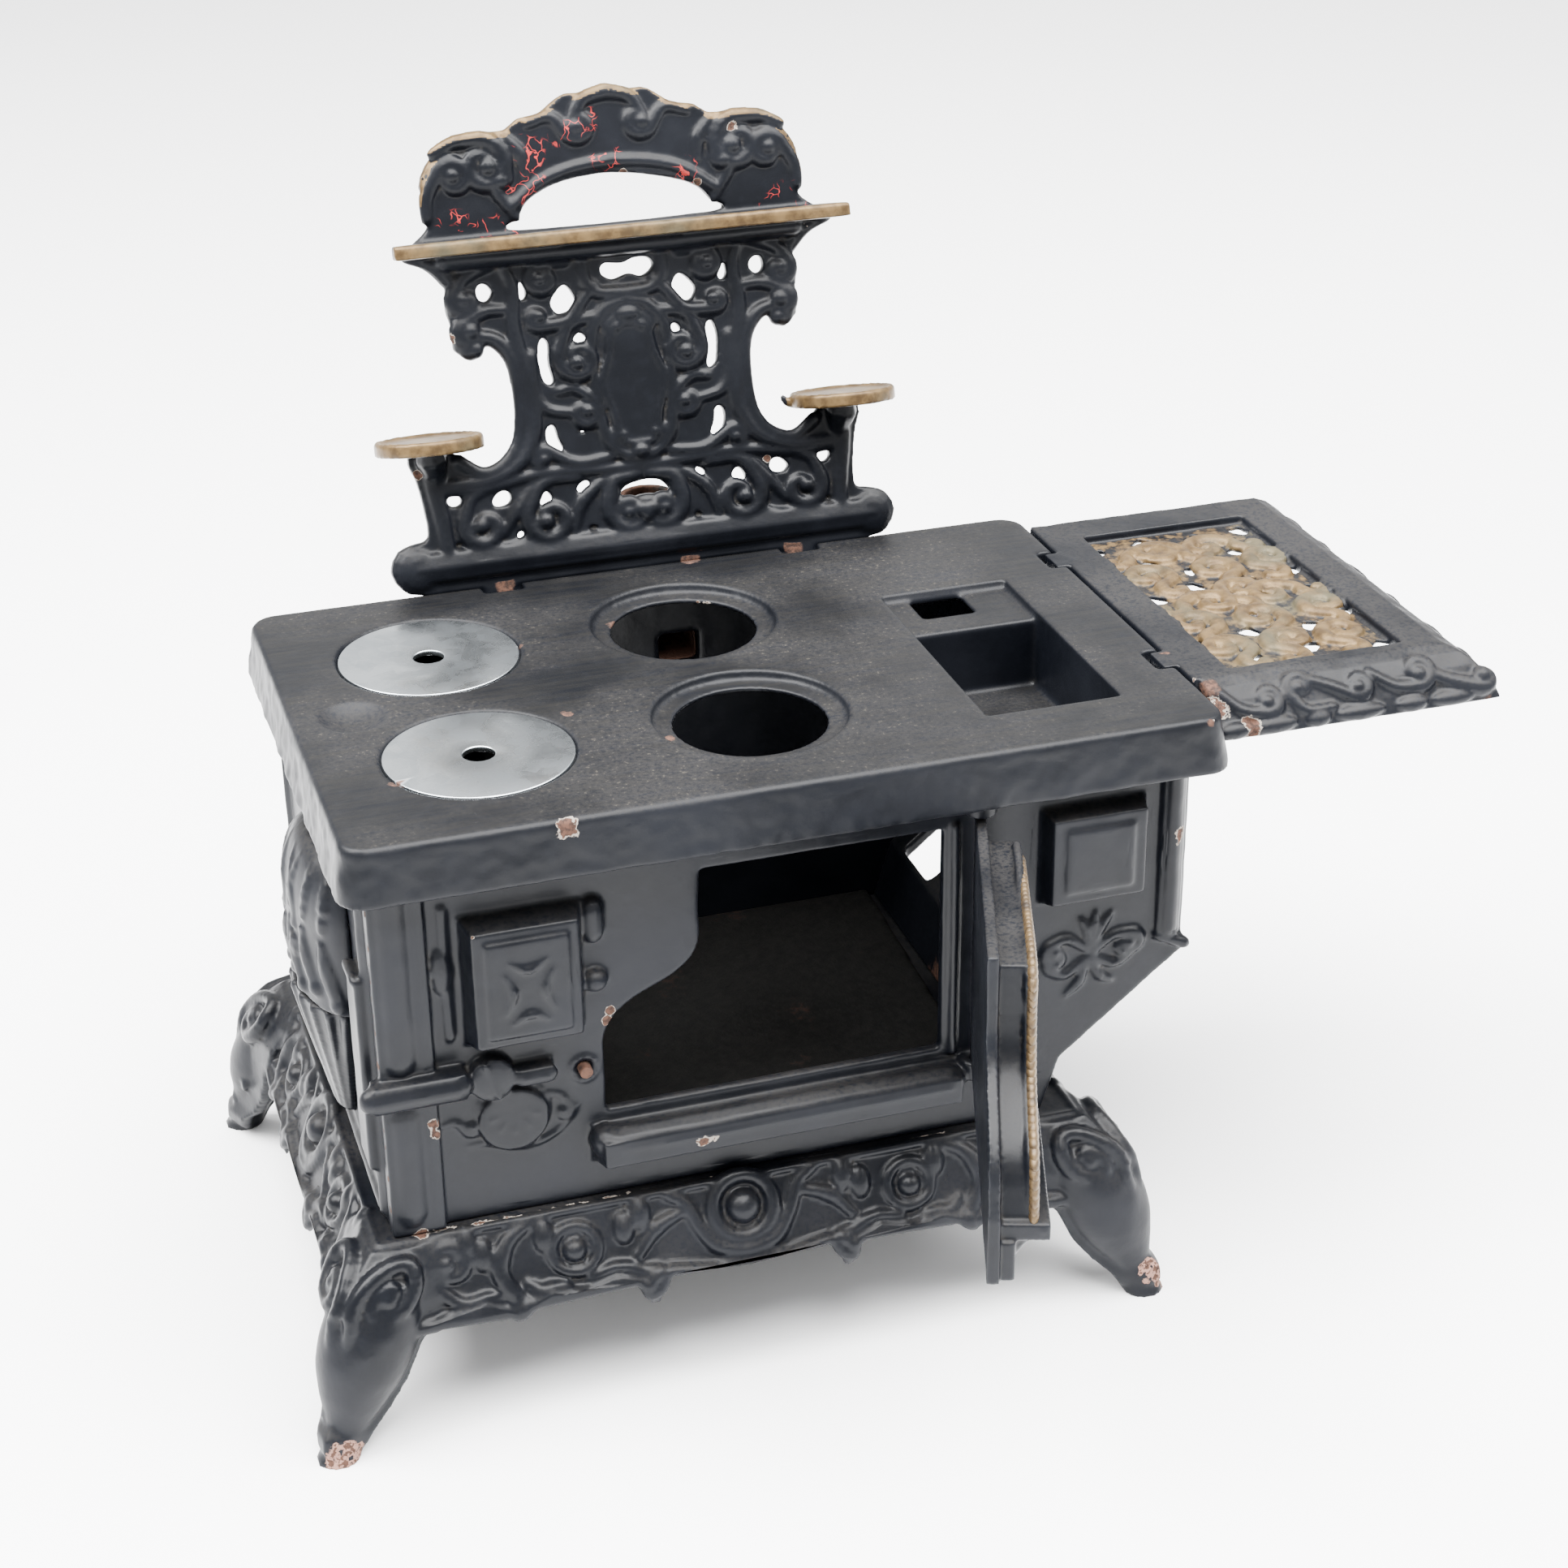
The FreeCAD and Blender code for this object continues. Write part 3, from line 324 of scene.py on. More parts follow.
class RangeSizes(bpy.types.PropertyGroup):
    """Sizes of the soft cast look, in millimetres."""
    voxel: FloatProperty(name="Casting grain", description="Cell size the castings are fused at",
                         default=0.75, min=0.3, max=3.0)
    bold: FloatProperty(name="Scroll weight", description="How thick the scroll strands are, as a share",
                        default=1.2, min=0.5, max=2.0)


MATERIALS = {}    # filled by the finishes step, for the pieces to take from


# ------------------------------------------------------------------ closed shapes to cast from

class Plane:
    """A flat local frame: u and v lie in the face and w stands out of it."""

    def __init__(self, origin, u, v):
        self.origin = np.array(origin, float)
        self.u = np.array(u, float) / np.linalg.norm(u)
        self.v = np.array(v, float) / np.linalg.norm(v)
        self.w = np.cross(self.u, self.v)

    def out(self, points):
        """Local points to the range's own millimetres."""
        points = np.asarray(points, float)
        return (self.origin + points[:, :1] * self.u + points[:, 1:2] * self.v + points[:, 2:3] * self.w)

    def into(self, points):
        """The range's own millimetres to local points."""
        away = points - self.origin
        return np.stack([away @ self.u, away @ self.v, away @ self.w], axis=1)


def in_space(point):
    """A flat point with a height of zero, or a point in space as it is."""
    return tuple(point) + (0.0,) * (3 - len(point))


def smooth_path(points, per=6):
    """A soft curve through the points, which may be flat or in space."""
    points = np.array([in_space(p) for p in points], float)
    if len(points) < 3:
        steps = np.linspace(0, 1, per + 1)[:, None]
        return points[0] * (1 - steps) + points[-1] * steps
    ends = np.vstack([2 * points[0] - points[1], points, 2 * points[-1] - points[-2]])
    found = []
    for a, b, c, d in zip(ends, ends[1:], ends[2:], ends[3:]):
        for t in np.arange(per) / per:
            found.append(0.5 * (2 * b + (c - a) * t + (2 * a - 5 * b + 4 * c - d) * t ** 2
                                + (3 * b - a - 3 * c + d) * t ** 3))
    return np.array(found + [points[-1]])


def box(left, low, right, high):
    """A rectangle's outline."""
    return [(left, low), (right, low), (right, high), (left, high)]


def soft_loop(points, per=5):
    """A closed soft curve through flat points."""
    points = list(points)
    count = len(points)
    path = smooth_path(points[-2:] + points + points[:2], per)
    return path[2 * per:(2 + count) * per, :2]


def curl(path, radius, turns, hand):
    """Go on from the end of a flat path round an inward spiral; hand is 1 for left."""
    heading = path[-1] - path[-2]
    heading = heading / np.linalg.norm(heading)
    middle = path[-1] + hand * radius * np.array([-heading[1], heading[0], 0.0])
    first = math.atan2(path[-1][1] - middle[1], path[-1][0] - middle[0])
    count = max(6, int(turns * 18))
    steps = (np.arange(count) + 1) / count
    turn = first + hand * 2 * math.pi * turns * steps
    reach = radius * (1 - 0.78 * steps)
    level = np.full(count, path[-1][2])
    more = np.stack([middle[0] + reach * np.cos(turn), middle[1] + reach * np.sin(turn), level], axis=1)
    return np.vstack([path, more])


def loft(loops):
    """The points and faces of a closed shape through loops that have as many points each."""
    size = len(loops[0])
    faces = []
    for low in range(0, (len(loops) - 1) * size, size):
        for k in range(size):
            after = (k + 1) % size
            faces.append([low + k, low + after, low + size + after, low + size + k])
    last = (len(loops) - 1) * size
    faces += [list(reversed(range(size))), [last + k for k in range(size)]]
    return np.array([point for loop in loops for point in loop], float), faces


class Heap:
    """A heap of closed shapes in the range's own millimetres."""

    def __init__(self):
        self.points = []
        self.faces = []
        self.count = 0

    def add(self, points, faces):
        self.points.append(np.asarray(points, float))
        self.faces += [[index + self.count for index in face] for face in faces]
        self.count += len(points)
        return self

    def put(self, plane, points, faces):
        """Add a shape that is drawn on a plane, or in the range's own millimetres if there is none."""
        return self.add(plane.out(points) if plane else points, faces)

    def node(self, name):
        """The faces of a CAD node."""
        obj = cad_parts[name]
        place = TO_FRAME.inverted() @ obj.matrix_world
        mesh = bmesh.new()
        mesh.from_mesh(obj.data)
        bmesh.ops.transform(mesh, matrix=place, verts=mesh.verts)
        bmesh.ops.remove_doubles(mesh, verts=mesh.verts, dist=0.005)
        mesh.verts.index_update()
        self.add([tuple(v.co) for v in mesh.verts], [[v.index for v in f.verts] for f in mesh.faces])
        mesh.free()
        return self

    def tube(self, plane, path, thick, flat=1.0, sides=8):
        """A round strand with rounded ends along a path; thick may change from start to end."""
        path = np.asarray(path, float)
        along = np.linspace(0, 1, len(path))
        thick = np.atleast_1d(thick)
        radii = np.interp(along, np.linspace(0, 1, len(thick)), thick)
        tangent = np.gradient(path, axis=0)
        tangent /= np.maximum(np.linalg.norm(tangent, axis=1), 1e-9)[:, None]
        side = np.cross(np.array([0.0, 0.0, 1.0]), tangent)
        lengths = np.linalg.norm(side, axis=1)
        side = np.where(lengths[:, None] > 0.05, side / np.maximum(lengths, 1e-9)[:, None],
                        np.array([1.0, 0.0, 0.0]))
        over = np.cross(tangent, side)
        caps = ((0.95, 0.3), (0.7, 0.72))
        rows = [(path[0] - tangent[0] * radii[0] * a, side[0], over[0], radii[0] * b) for a, b in caps]
        rows += list(zip(path, side, over, radii))
        rows += [(path[-1] + tangent[-1] * radii[-1] * a, side[-1], over[-1], radii[-1] * b)
                 for a, b in reversed(caps)]
        angles = np.arange(sides) * 2 * math.pi / sides
        return self.put(plane, *loft([
            middle + radius * (np.cos(angles)[:, None] * across + flat * np.sin(angles)[:, None] * up)
            for middle, across, up, radius in rows]))

    def ball(self, plane, middle, radii, rows=8, sides=12):
        """An egg shape; radii may be one number or three."""
        points = [(0.0, 0.0, -1.0)]
        turns = [2 * math.pi * k / sides for k in range(sides)]
        for row in range(1, rows):
            lift = -math.cos(math.pi * row / rows)
            ring = math.sin(math.pi * row / rows)
            points += [(ring * math.cos(turn), ring * math.sin(turn), lift) for turn in turns]
        points.append((0.0, 0.0, 1.0))
        faces = []
        for k in range(sides):
            after = (k + 1) % sides
            faces.append([0, 1 + after, 1 + k])
            for row in range(rows - 2):
                low = 1 + row * sides
                faces.append([low + k, low + after, low + sides + after, low + sides + k])
            low = 1 + (rows - 2) * sides
            faces.append([low + k, low + after, len(points) - 1])
        points = np.array(points) * np.asarray(radii, float) + np.array(in_space(middle))
        return self.put(plane, points, faces)

    def slab(self, plane, loops, low, high):
        """A flat plate between two heights; the first loop is its outline and the rest are holes."""
        loops = [np.asarray(loop, float)[:, :2] for loop in loops]
        flat = np.vstack(loops)
        triangles = tessellate_polygon([[Vector((x, y, 0.0)) for x, y in loop] for loop in loops])
        count = len(flat)
        points = np.vstack([np.column_stack([flat, np.full(count, level)]) for level in (low, high)])
        faces = []
        for a, b, c in triangles:
            ab, ac = flat[b] - flat[a], flat[c] - flat[a]
            if ab[0] * ac[1] - ab[1] * ac[0] < 0:
                b, c = c, b
            faces.append([a, c, b])
            faces.append([a + count, b + count, c + count])
        start = 0
        for number, loop in enumerate(loops):
            size = len(loop)
            after = np.roll(loop, -1, axis=0)
            turn = np.sum(loop[:, 0] * after[:, 1] - after[:, 0] * loop[:, 1])
            forward = (turn > 0) == (number == 0)
            for k in range(size):
                a, b = start + k, start + (k + 1) % size
                faces.append([a, b, b + count, a + count] if forward else [b, a, a + count, b + count])
            start += size
        return self.put(plane, points, faces)

    def ring(self, plane, middle, radius, thick, flat=1.0):
        """A closed round bead."""
        turn = np.linspace(0, 2 * math.pi, 31)
        path = np.stack([middle[0] + radius * np.cos(turn), middle[1] + radius * np.sin(turn), 0 * turn],
                        axis=1)
        return self.tube(plane, path, thick, flat)


def near(points, spots):
    """How deep each point lies in the nearest of the spots, 1 at a middle and 0 at a rim."""
    best = np.zeros(len(points))
    for x, y, z, reach in spots:
        away = np.linalg.norm(points - np.array([x, y, z]), axis=1)
        best = np.maximum(best, 1 - away / (2 * reach))
    return np.maximum(best, 0.0)


def bulge(mesh, points, normals):
    """Smoothed curvature: above 0 on edges, below 0 in hollows."""
    edges = np.empty(len(mesh.edges) * 2, dtype=np.int64)
    mesh.edges.foreach_get("vertices", edges)
    a, b = edges[::2], edges[1::2]
    count = np.zeros(len(points))
    np.add.at(count, a, 1)
    np.add.at(count, b, 1)

    def gather(total, at_a, at_b):
        """Add each edge's values to the points at its two ends."""
        np.add.at(total, a, at_a)
        np.add.at(total, b, at_b)
        return total
    step = points[b] - points[a]
    span = np.maximum(np.linalg.norm(step, axis=1), 1e-6)
    curve = gather(np.zeros(len(points)), -np.sum(step * normals[a], axis=1) / span ** 2,
                   np.sum(step * normals[b], axis=1) / span ** 2) / np.maximum(count, 1)
    for _ in range(4):
        curve = gather(curve.copy(), curve[b], curve[a]) / (count + 1)
    return np.clip(curve * 2.2, -1, 1)


def cloud(points, scale, seed):
    """Soft noise at each point, about -1 to 1; scale is in features to the millimetre."""
    shift = Vector((seed * 17.3, seed * 5.1, seed * 9.7))
    return np.array([noise.noise(Vector(p) * scale + shift) for p in points])


def read(mesh, key):
    """A mesh's points or normals as rows of three."""
    values = np.empty(len(mesh.vertices) * 3)
    mesh.vertices.foreach_get(key, values)
    return values.reshape(-1, 3)


def mark(mesh, key, values):
    """Write one value for each point of a mesh, for the shaders to read."""
    mesh.attributes.new(key, "FLOAT", "POINT").data.foreach_set("value", values.astype(np.float32))


def evaluated(obj):
    """An object as its modifiers leave it."""
    return obj.evaluated_get(bpy.context.evaluated_depsgraph_get())


def link(name, mesh, body, node, material):
    """Put a finished mesh in the scene on its body, in place of a CAD node."""
    mesh.materials.clear()
    mesh.materials.append(material)
    obj = bpy.data.objects.new(name, mesh)
    bpy.context.scene.collection.objects.link(obj)
    if node:
        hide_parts(node)
    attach(obj, body)


def raw_object(name, points, edges, faces):
    """A passing object for modifiers to work on."""
    mesh = bpy.data.meshes.new(name + "_raw")
    mesh.from_pydata([tuple(p) for p in points], edges, faces)
    raw = bpy.data.objects.new(name + "_raw", mesh)
    bpy.context.scene.collection.objects.link(raw)
    return raw


def cast(heap, node, finish="enamel", body="range", name=None, voxel=None, rounds=2, most=190000,
         lumps=0.10, gilt=None, shape=None):
    """Fuse a heap into one soft casting, roughen it, mark its wear and put it in place of its node."""
    name = name or node + "_look"
    raw = raw_object(name, np.vstack(heap.points), [], heap.faces)
    fuse = raw.modifiers.new("fuse", "REMESH")
    fuse.mode = "VOXEL"
    fuse.voxel_size = (voxel or bpy.context.scene.range_sizes.voxel) * 1.0
    soft = raw.modifiers.new("soft", "SMOOTH")
    soft.factor = 0.5
    soft.iterations = rounds
    trim = raw.modifiers.new("trim", "DECIMATE")
    trim.show_viewport = False
    count = 2 * len(evaluated(raw).data.polygons)
    trim.ratio = min(1.0, most / max(count, 1))
    trim.show_viewport = count > most
    done = bpy.data.meshes.new_from_object(evaluated(raw))
    done.name = name
    bpy.data.objects.remove(raw)

    points, normals = read(done, "co"), read(done, "normal")
    edge = bulge(done, points, normals)
    if shape:
        points = shape(points)
    points = points + normals * (lumps * cloud(points, 0.16, 1))[:, None]
    points = np.clip(points, *INSIDE)
    # besides the placed chips, small ones are scattered along the sharper edges
    scatter = np.clip((cloud(points, 0.09, 5) - 0.28) * 5, 0, 1) * np.clip((edge - 0.35) * 3, 0, 1)
    chip = np.maximum(near(points, CHIP_SPOTS), scatter * 0.62)
    chip = np.maximum(chip, near(points, SEAM_SPOTS) * 0.66)
    mark(done, "edge", edge)
    mark(done, "rust", near(points, RUST_SPOTS))
    mark(done, "chip", np.where(points[:, 2] < WORN_FOOT, np.minimum(chip, CHIP_LIMIT), chip))
    mark(done, "gilt", gilt(points, normals) if gilt else np.zeros(len(points)))
    mark(done, "crackle", near(points, CRACKLE_SPOTS) * (normals[:, 1] < 0.3))
    done.vertices.foreach_set("co", (points * MM + np.array(MIDDLE)).ravel())
    done.polygons.foreach_set("use_smooth", [True] * len(done.polygons))
    done.update()
    link(name, done, body, node, MATERIALS[finish])


# ------------------------------------------------------------------ stage

def look_matrix(eye, right, up):
    """A camera matrix from its place and two of its directions."""
    back = right.cross(up)
    turn = Matrix((right, up, back)).transposed().to_4x4()
    return Matrix.Translation(eye) @ turn


LIGHTS = [  # name, place, size and power
    ("key", (-1.0, 0.1, 1.4), 1.0, 120.0), ("fill", (1.1, -0.3, 1.3), 1.0, 45.0),
    ("top", (0.1, -0.25, 1.7), 1.6, 230.0),
]
EYE = (-204.05, -704.26, 510.97)
EYE_RIGHT, EYE_UP = Vector((0.951685, -0.306869, -0.011290)), Vector((0.148546, 0.427881, 0.891544))


class RANGE_OT_stage(bpy.types.Operator):
    """Pale floor, soft studio light and the camera"""
    bl_idname = "toyrange.stage"
    bl_label = "Stage, light and camera"

    def execute(self, context):
        scene = context.scene
        paint = Paint("studio_paper")
        paper = paint.blend(paint.grain(3.0, 2.0), (0.86, 0.86, 0.87), (0.9, 0.9, 0.9))
        paint.set(Base_Color=paper, Roughness=0.9, Normal=paint.bump(paint.grain(400.0), 0.05, 0.0002))
        mesh = bpy.data.meshes.new("floor")
        half = 3.0
        mesh.from_pydata([(-half, -half, 0), (half, -half, 0), (half, half, 0), (-half, half, 0)], [],
                         [(0, 1, 2, 3)])
        mesh.materials.append(paint.material)
        floor = bpy.data.objects.new("floor", mesh)
        scene.collection.objects.link(floor)

        world = bpy.data.worlds.new("studio")
        world.use_nodes = True
        sky = world.node_tree.nodes["Background"]
        sky.inputs["Color"].default_value = (1.0, 1.0, 1.0, 1.0)
        sky.inputs["Strength"].default_value = 1.6
        scene.world = world

        for name, spot, size, power in LIGHTS:
            data = bpy.data.lights.new(name, "AREA")
            data.energy = power
            data.size = size
            lamp = bpy.data.objects.new(name, data)
            lamp.location = spot
            aim = Vector((0.0, 0.0, 0.15)) - lamp.location
            lamp.rotation_euler = aim.to_track_quat("-Z", "Y").to_euler()
            scene.collection.objects.link(lamp)

        data = bpy.data.cameras.new("camera")
        data.sensor_width = 36.0
        data.lens = 66.33
        camera = bpy.data.objects.new("camera", data)
        camera.matrix_world = look_matrix(TO_FRAME @ Vector(EYE), EYE_RIGHT.normalized(), EYE_UP.normalized())
        scene.collection.objects.link(camera)
        scene.camera = camera
        return {"FINISHED"}


class RANGE_OT_finishes(bpy.types.Operator):
    """Enamel, zinc, gilding and bare iron"""
    bl_idname = "toyrange.finishes"
    bl_label = "Finishes"

    def execute(self, context):
        colours = context.scene.range_colours
        MATERIALS["enamel"] = enamel("black_enamel", colours)
        MATERIALS["plate"] = enamel("plate_enamel", colours, rub=0.5, gloss=0.42, dust=0.36, flat=True)
        # the inner iron's near-black tones are partly the iron's own dark colour and partly painted shade for
        # the parts inside the range
        MATERIALS["inside"] = bare_iron("inner_iron_painted_shade", (0.0014, 0.0014, 0.0014), (0.0050, 0.0046, 0.0042),
                                        colours.rust_deep, 0.2)
        MATERIALS["rusty"] = bare_iron("rusty_iron", (0.010, 0.008, 0.007), (0.028, 0.018, 0.013),
                                       colours.rust, 0.8)
        MATERIALS["zinc"] = zinc("zinc_plate", colours)
        MATERIALS["gilt"] = gilding("gilt_rim", colours)
        return {"FINISHED"}


# ------------------------------------------------------------------ faces of the range

LEAN = math.radians(15.0)         # of the high back, towards the front
BODY_HALF = 68.6                  # from the plate's middle to the front plate's face
FRONT = Plane((0, -BODY_HALF, 0), (1, 0, 0), (0, 0, 1))
BACK = Plane((1.7, 75.5, PLATE_TOP), (1, 0, 0), (0, math.sin(LEAN), math.cos(LEAN)))
TOP = Plane((0, 0, PLATE_TOP), (1, 0, 0), (0, 1, 0))
DECK = 56.0                       # height of the base's deck
BASE_X = -18.7                    # the base's middle, which the water tank overhangs
HALF_LONG, HALF_DEEP = 99.5, 71.5
FLARE = (0.431, 0.902)            # how the apron slopes: in and up
APRON = [(Plane((BASE_X + x * HALF_LONG, y * HALF_DEEP, DECK), (-y, x, 0),
                (-x * FLARE[0], -y * FLARE[0], FLARE[1])), HALF_LONG if y else HALF_DEEP)
         for x, y in ((0, -1), (0, 1), (-1, 0), (1, 0))]

# Places of wear: x, y, z and reach, in millimetres.
CHIP_SPOTS = [
    (-63, -78.5, 174.9, 3.4), (-121, 6.9, 175.7, 1.2), (115.5, -77.5, 176.3, 1.6), (117.4, -78, 171.7, 1),
    (108.9, -70.5, 140, 2.2), (108.6, -70.5, 136.2, 1.5), (-101.1, -71, 90, 1.6), (-101.1, -71, 86.7, 1.5),
    (-29.9, -76, 73.9, 2.6), (-26.9, -76, 74.1, 2), (-7.6, -76, 73.1, 1.6), (-2.2, -76, 75.3, 1.4),
    (-51.9, -68.6, 113.6, 1.5), (-52.9, -68.6, 110.6, 1.5), (-106.7, -70.9, 56, 2), (-136, -90, 4, 4.2),
    (-132, -91, 3, 4.4), (-117.4, -84, 13.3, 1.2), (100, -90, 8, 4), (104, -89, 3, 3),
    (102.7, -88, 12.3, 2.5),
    (84.9, -88, 43.8, 1.2), (-138, 86, 4, 3), (124, -58, 168, 4.5), (132.9, -62, 164.3, 4),
    (164.5, -62, 163.6, 2),
    (207.1, -60, 163.1, 3.5), (203, -60, 162.4, 2.5), (-50.8, 94.5, 247.1, 1.6), (-65.6, 84.7, 210.6, 1.6),
    (27.3, 104.4, 284.1, 1.4), (5, 105.5, 288.3, 1.2), (38.8, 108.2, 298.4, 2), (58.7, 100.4, 269.2, 2.4),
    (40.6, 82.7, 203, 1.2), (-135, -70, 8, 1.2),
]
SEAM_SPOTS = [(x, -70.2, 56.4, 1.3 + 0.8 * math.sin(x)) for x in range(-104, 50, 6)]
RUST_SPOTS = [
    (-43.6, 75, 176.3, 3), (46.2, 75, 176.3, 3), (-99.4, -42.8, 176.3, 2), (-47.6, -17.3, 176.3, 1.5),
    (-97.7, 40.5, 176.3, 1.6), (-49.6, 31.3, 176.3, 1.2), (-18.4, 41.7, 175, 3), (-6.8, 48.2, 175, 3),
    (-14.5, -20.6, 175, 3), (-0.3, -15.7, 175, 3), (-24.5, -35.8, 175, 2), (120.2, -34.6, 176.3, 2),
    (13.6, 75.7, 176.3, 3), (64.5, 8.6, 59, 7), (62.2, -8.2, 59, 6), (-10.4, -2.8, 59, 3),
    (114.3, -77.5, 175.4, 1.6),
    (-59.7, -74, 97.5, 2.2), (124, -55, 174, 3), (206, -62, 163, 3),
] + [(-114.2, -69.6, z, 0.7 + 0.4 * math.sin(z * 0.7)) for z in range(60, 170, 5)]
CRACKLE_SPOTS = [
    (-6.2, 109.6, 303.6, 4), (-22.7, 107.8, 296.8, 4), (-26.8, 104, 282.6, 5), (-22.2, 106.3, 291.2, 4),
    (-12.7, 108.7, 300.4, 3), (0, 107, 293.7, 4), (24, 104.4, 286.5, 4), (54.2, 102.2, 275.8, 5),
    (-46.7, 102.4, 276.6, 5), (-33, 102, 274, 5),
]


def strands(heap, plane, rows, mirrored=False, lift=0.0, weight=1.0):
    """Add scroll strands: each row is (points, thickness) and, for a curled end, (radius, turns, hand)."""
    bold = bpy.context.scene.range_sizes.bold * weight
    for points, thick, *end in rows:
        thick = np.array(thick) * bold
        for sign in (1, -1) if mirrored else (1,):
            path = smooth_path([(sign * x, y, lift) for x, y in points])
            widths = thick
            if end:
                radius, turns, hand = end
                path = curl(path, radius, turns, hand * sign)
                widths = (*thick, thick[-1] * 0.72)
                heap.ball(plane, path[-1], thick[-1] * 1.05)
            heap.tube(plane, path, widths, 0.85)


def base_relief(heap, plane, half):
    """One side of the apron: a ring boss in the middle and scrolls that run out to the corners."""
    span = half / HALF_LONG
    rows = [
        ([(0, -20.5), (8 * span, -18.5), (13 * span, -12), (16 * span, -5), (21 * span, -1.5)], (2.6, 1.6)),
        ([(44 * span, -20), (35 * span, -19.5), (27 * span, -22.5)], (1.6, 2.6), 3.8, 0.8, 1),
        ([(17 * span, -7), (25 * span, -10), (31 * span, -17)], (1.4, 2.4, 1.4)),
        ([(59 * span, -2), (66 * span, -6), (69 * span, -14), (64.5 * span, -22)], (1.4, 3.0, 2.4)),
        ([(52 * span, -21.5), (58 * span, -22), (62 * span, -18)], (1.8, 2.4, 1.2)),
        ([(70 * span, -20), (80 * span, -21), (87 * span, -14)], (1.6, 2.6), 6.8, 1.2, 1),
        ([(82 * span, -23), (92 * span, -24), (99 * span, -20)], (1.6, 2.4)),
    ]
    strands(heap, plane, rows, mirrored=True, lift=0.3, weight=0.85)
    heap.ring(plane, (0, -8.5), 8.6, 2.4)
    heap.ball(plane, (0, -8.5, 0), (5.0, 5.0, 4.6))
    for sign in (-1, 1):
        heap.ring(plane, (48 * span * sign, -11.5), 6.4, 1.9)
        heap.ball(plane, (48 * span * sign, -11.5, 0), (3.6, 3.6, 3.8))
        heap.ball(plane, (64 * span * sign, -24, 0.4), (3.4, 3.2, 2.8))
        heap.ball(plane, (27 * span * sign, -23.4, 0.4), (3.6, 3.2, 2.8))
        for shift, drop in ((73, -8), (77, -4), (29, -5), (34, -8), (90, -5), (56, -6)):
            heap.ball(plane, (shift * span * sign, drop, 0), (3.2, 5.2, 2.6))
    for level, lift, thick in ((-24.2, 0.3, 2.2), (-0.8, 0.2, 1.1)):
        heap.tube(plane, smooth_path([(x, level, lift) for x in (-half, 0, half)], 12), thick)


LEG = [  # height, outer corner from the base's middle, reach along the apron, thickness
    (55.5, 103.5, 75.5, 24, 6), (50, 109, 80, 27, 8), (42, 113.5, 83.2, 29, 9), (35, 115.2, 84.4, 29, 8),
    (29, 115.8, 85, 24, 7.5), (19, 117, 86, 20.5, 7), (12, 119.4, 87.6, 17.5, 7), (8, 122.6, 90, 16, 7),
    (4, 122.8, 90.4, 13.5, 7), (1.2, 120.8, 88.8, 10, 5),
]


def leg(heap, sx, sy):
    """A corner leg: an angle of iron that narrows to an upturned toe, with a volute on each face."""
    loops = []
    for height, x, y, reach, thick in LEG:
        corner = [(x - reach, y - 3.4), (x - reach * 0.5, y - 0.3), (x - 4.5, y - 0.6), (x - 1.3, y - 1.3),
                  (x - 0.6, y - 4.5), (x - 0.3, y - reach * 0.5), (x - 3.4, y - reach),
                  (x - thick, y - reach),
                  (x - thick, y - reach * 0.62), (x - thick - 2.5, y - thick - 2.5),
                  (x - reach * 0.62, y - thick), (x - reach, y - thick)]
        loops.append([(BASE_X + px * sx, py * sy, height) for px, py in corner])
    points, faces = loft(loops)
    heap.add(points, [face[::-1] for face in faces] if sx * sy > 0 else faces)
    bold = bpy.context.scene.range_sizes.bold
    levels, *corners = np.array(LEG[::-1]).T[:3]
    for along, across in ((0, 1), (1, 0)):

        def on_face(inward, height):
            """A point on this face of the leg, so far in from its corner."""
            found = [0.0, 0.0]
            found[along] = np.interp(height, levels, corners[along]) - inward
            found[across] = np.interp(height, levels, corners[across]) + 0.4
            return (BASE_X + found[0] * sx, found[1] * sy, height)
        turn = np.linspace(0, 1, 34)
        radius = 9.6 * (1 - 0.8 * turn)
        angle = -0.6 + turn * 2 * math.pi * 1.45
        spiral = [on_face(11.5 - r * math.cos(a), 45.5 + r * math.sin(a) * 0.95)
                  for r, a in zip(radius, angle)]
        heap.tube(None, spiral, tuple(np.array((2.0, 2.2, 1.8)) * bold))
        heap.ball(None, on_face(11.5, 45.5), 2.8)
        tail = smooth_path([on_face(3.5, 40), on_face(3, 30), on_face(4, 20), on_face(6, 12)])
        heap.tube(None, tail, (2.4, 2.0, 1.2))
        hook = smooth_path([on_face(7, 22), on_face(10, 23.4), on_face(13.2, 22), on_face(12.4, 19.4)])
        heap.tube(None, hook, (0.8, 1.5, 0.9))


LOBES = ([0, 12, 22, 30, 38, 47, 56, 66, 74, 82, 100],  # from an apron's middle, and how far its edge lifts
         [0.2, 0.0, 3.0, 0.6, 3.4, 0.5, 3.2, -1.8, 2.6, 1.8, 1.8])


def scallop(points):
    """Lift the apron's bottom edge into soft lobes, leaving the legs alone."""
    points = points.copy()
    away_x = np.abs(points[:, 0] - BASE_X)
    away_y = np.abs(points[:, 1])
    along = np.where(away_y > HALF_DEEP - 6, away_x, away_y * HALF_LONG / HALF_DEEP)
    free = np.clip((along - 82) / 6, 0, 1)
    lobes = np.interp(along, *LOBES)
    low = np.clip((44 - points[:, 2]) / 11, 0, 1)
    outer = (away_y > HALF_DEEP - 4) | (away_x > HALF_LONG - 4)
    points[:, 2] += np.where(outer & (points[:, 2] > 29), lobes * low * (1 - free), 0)
    return points


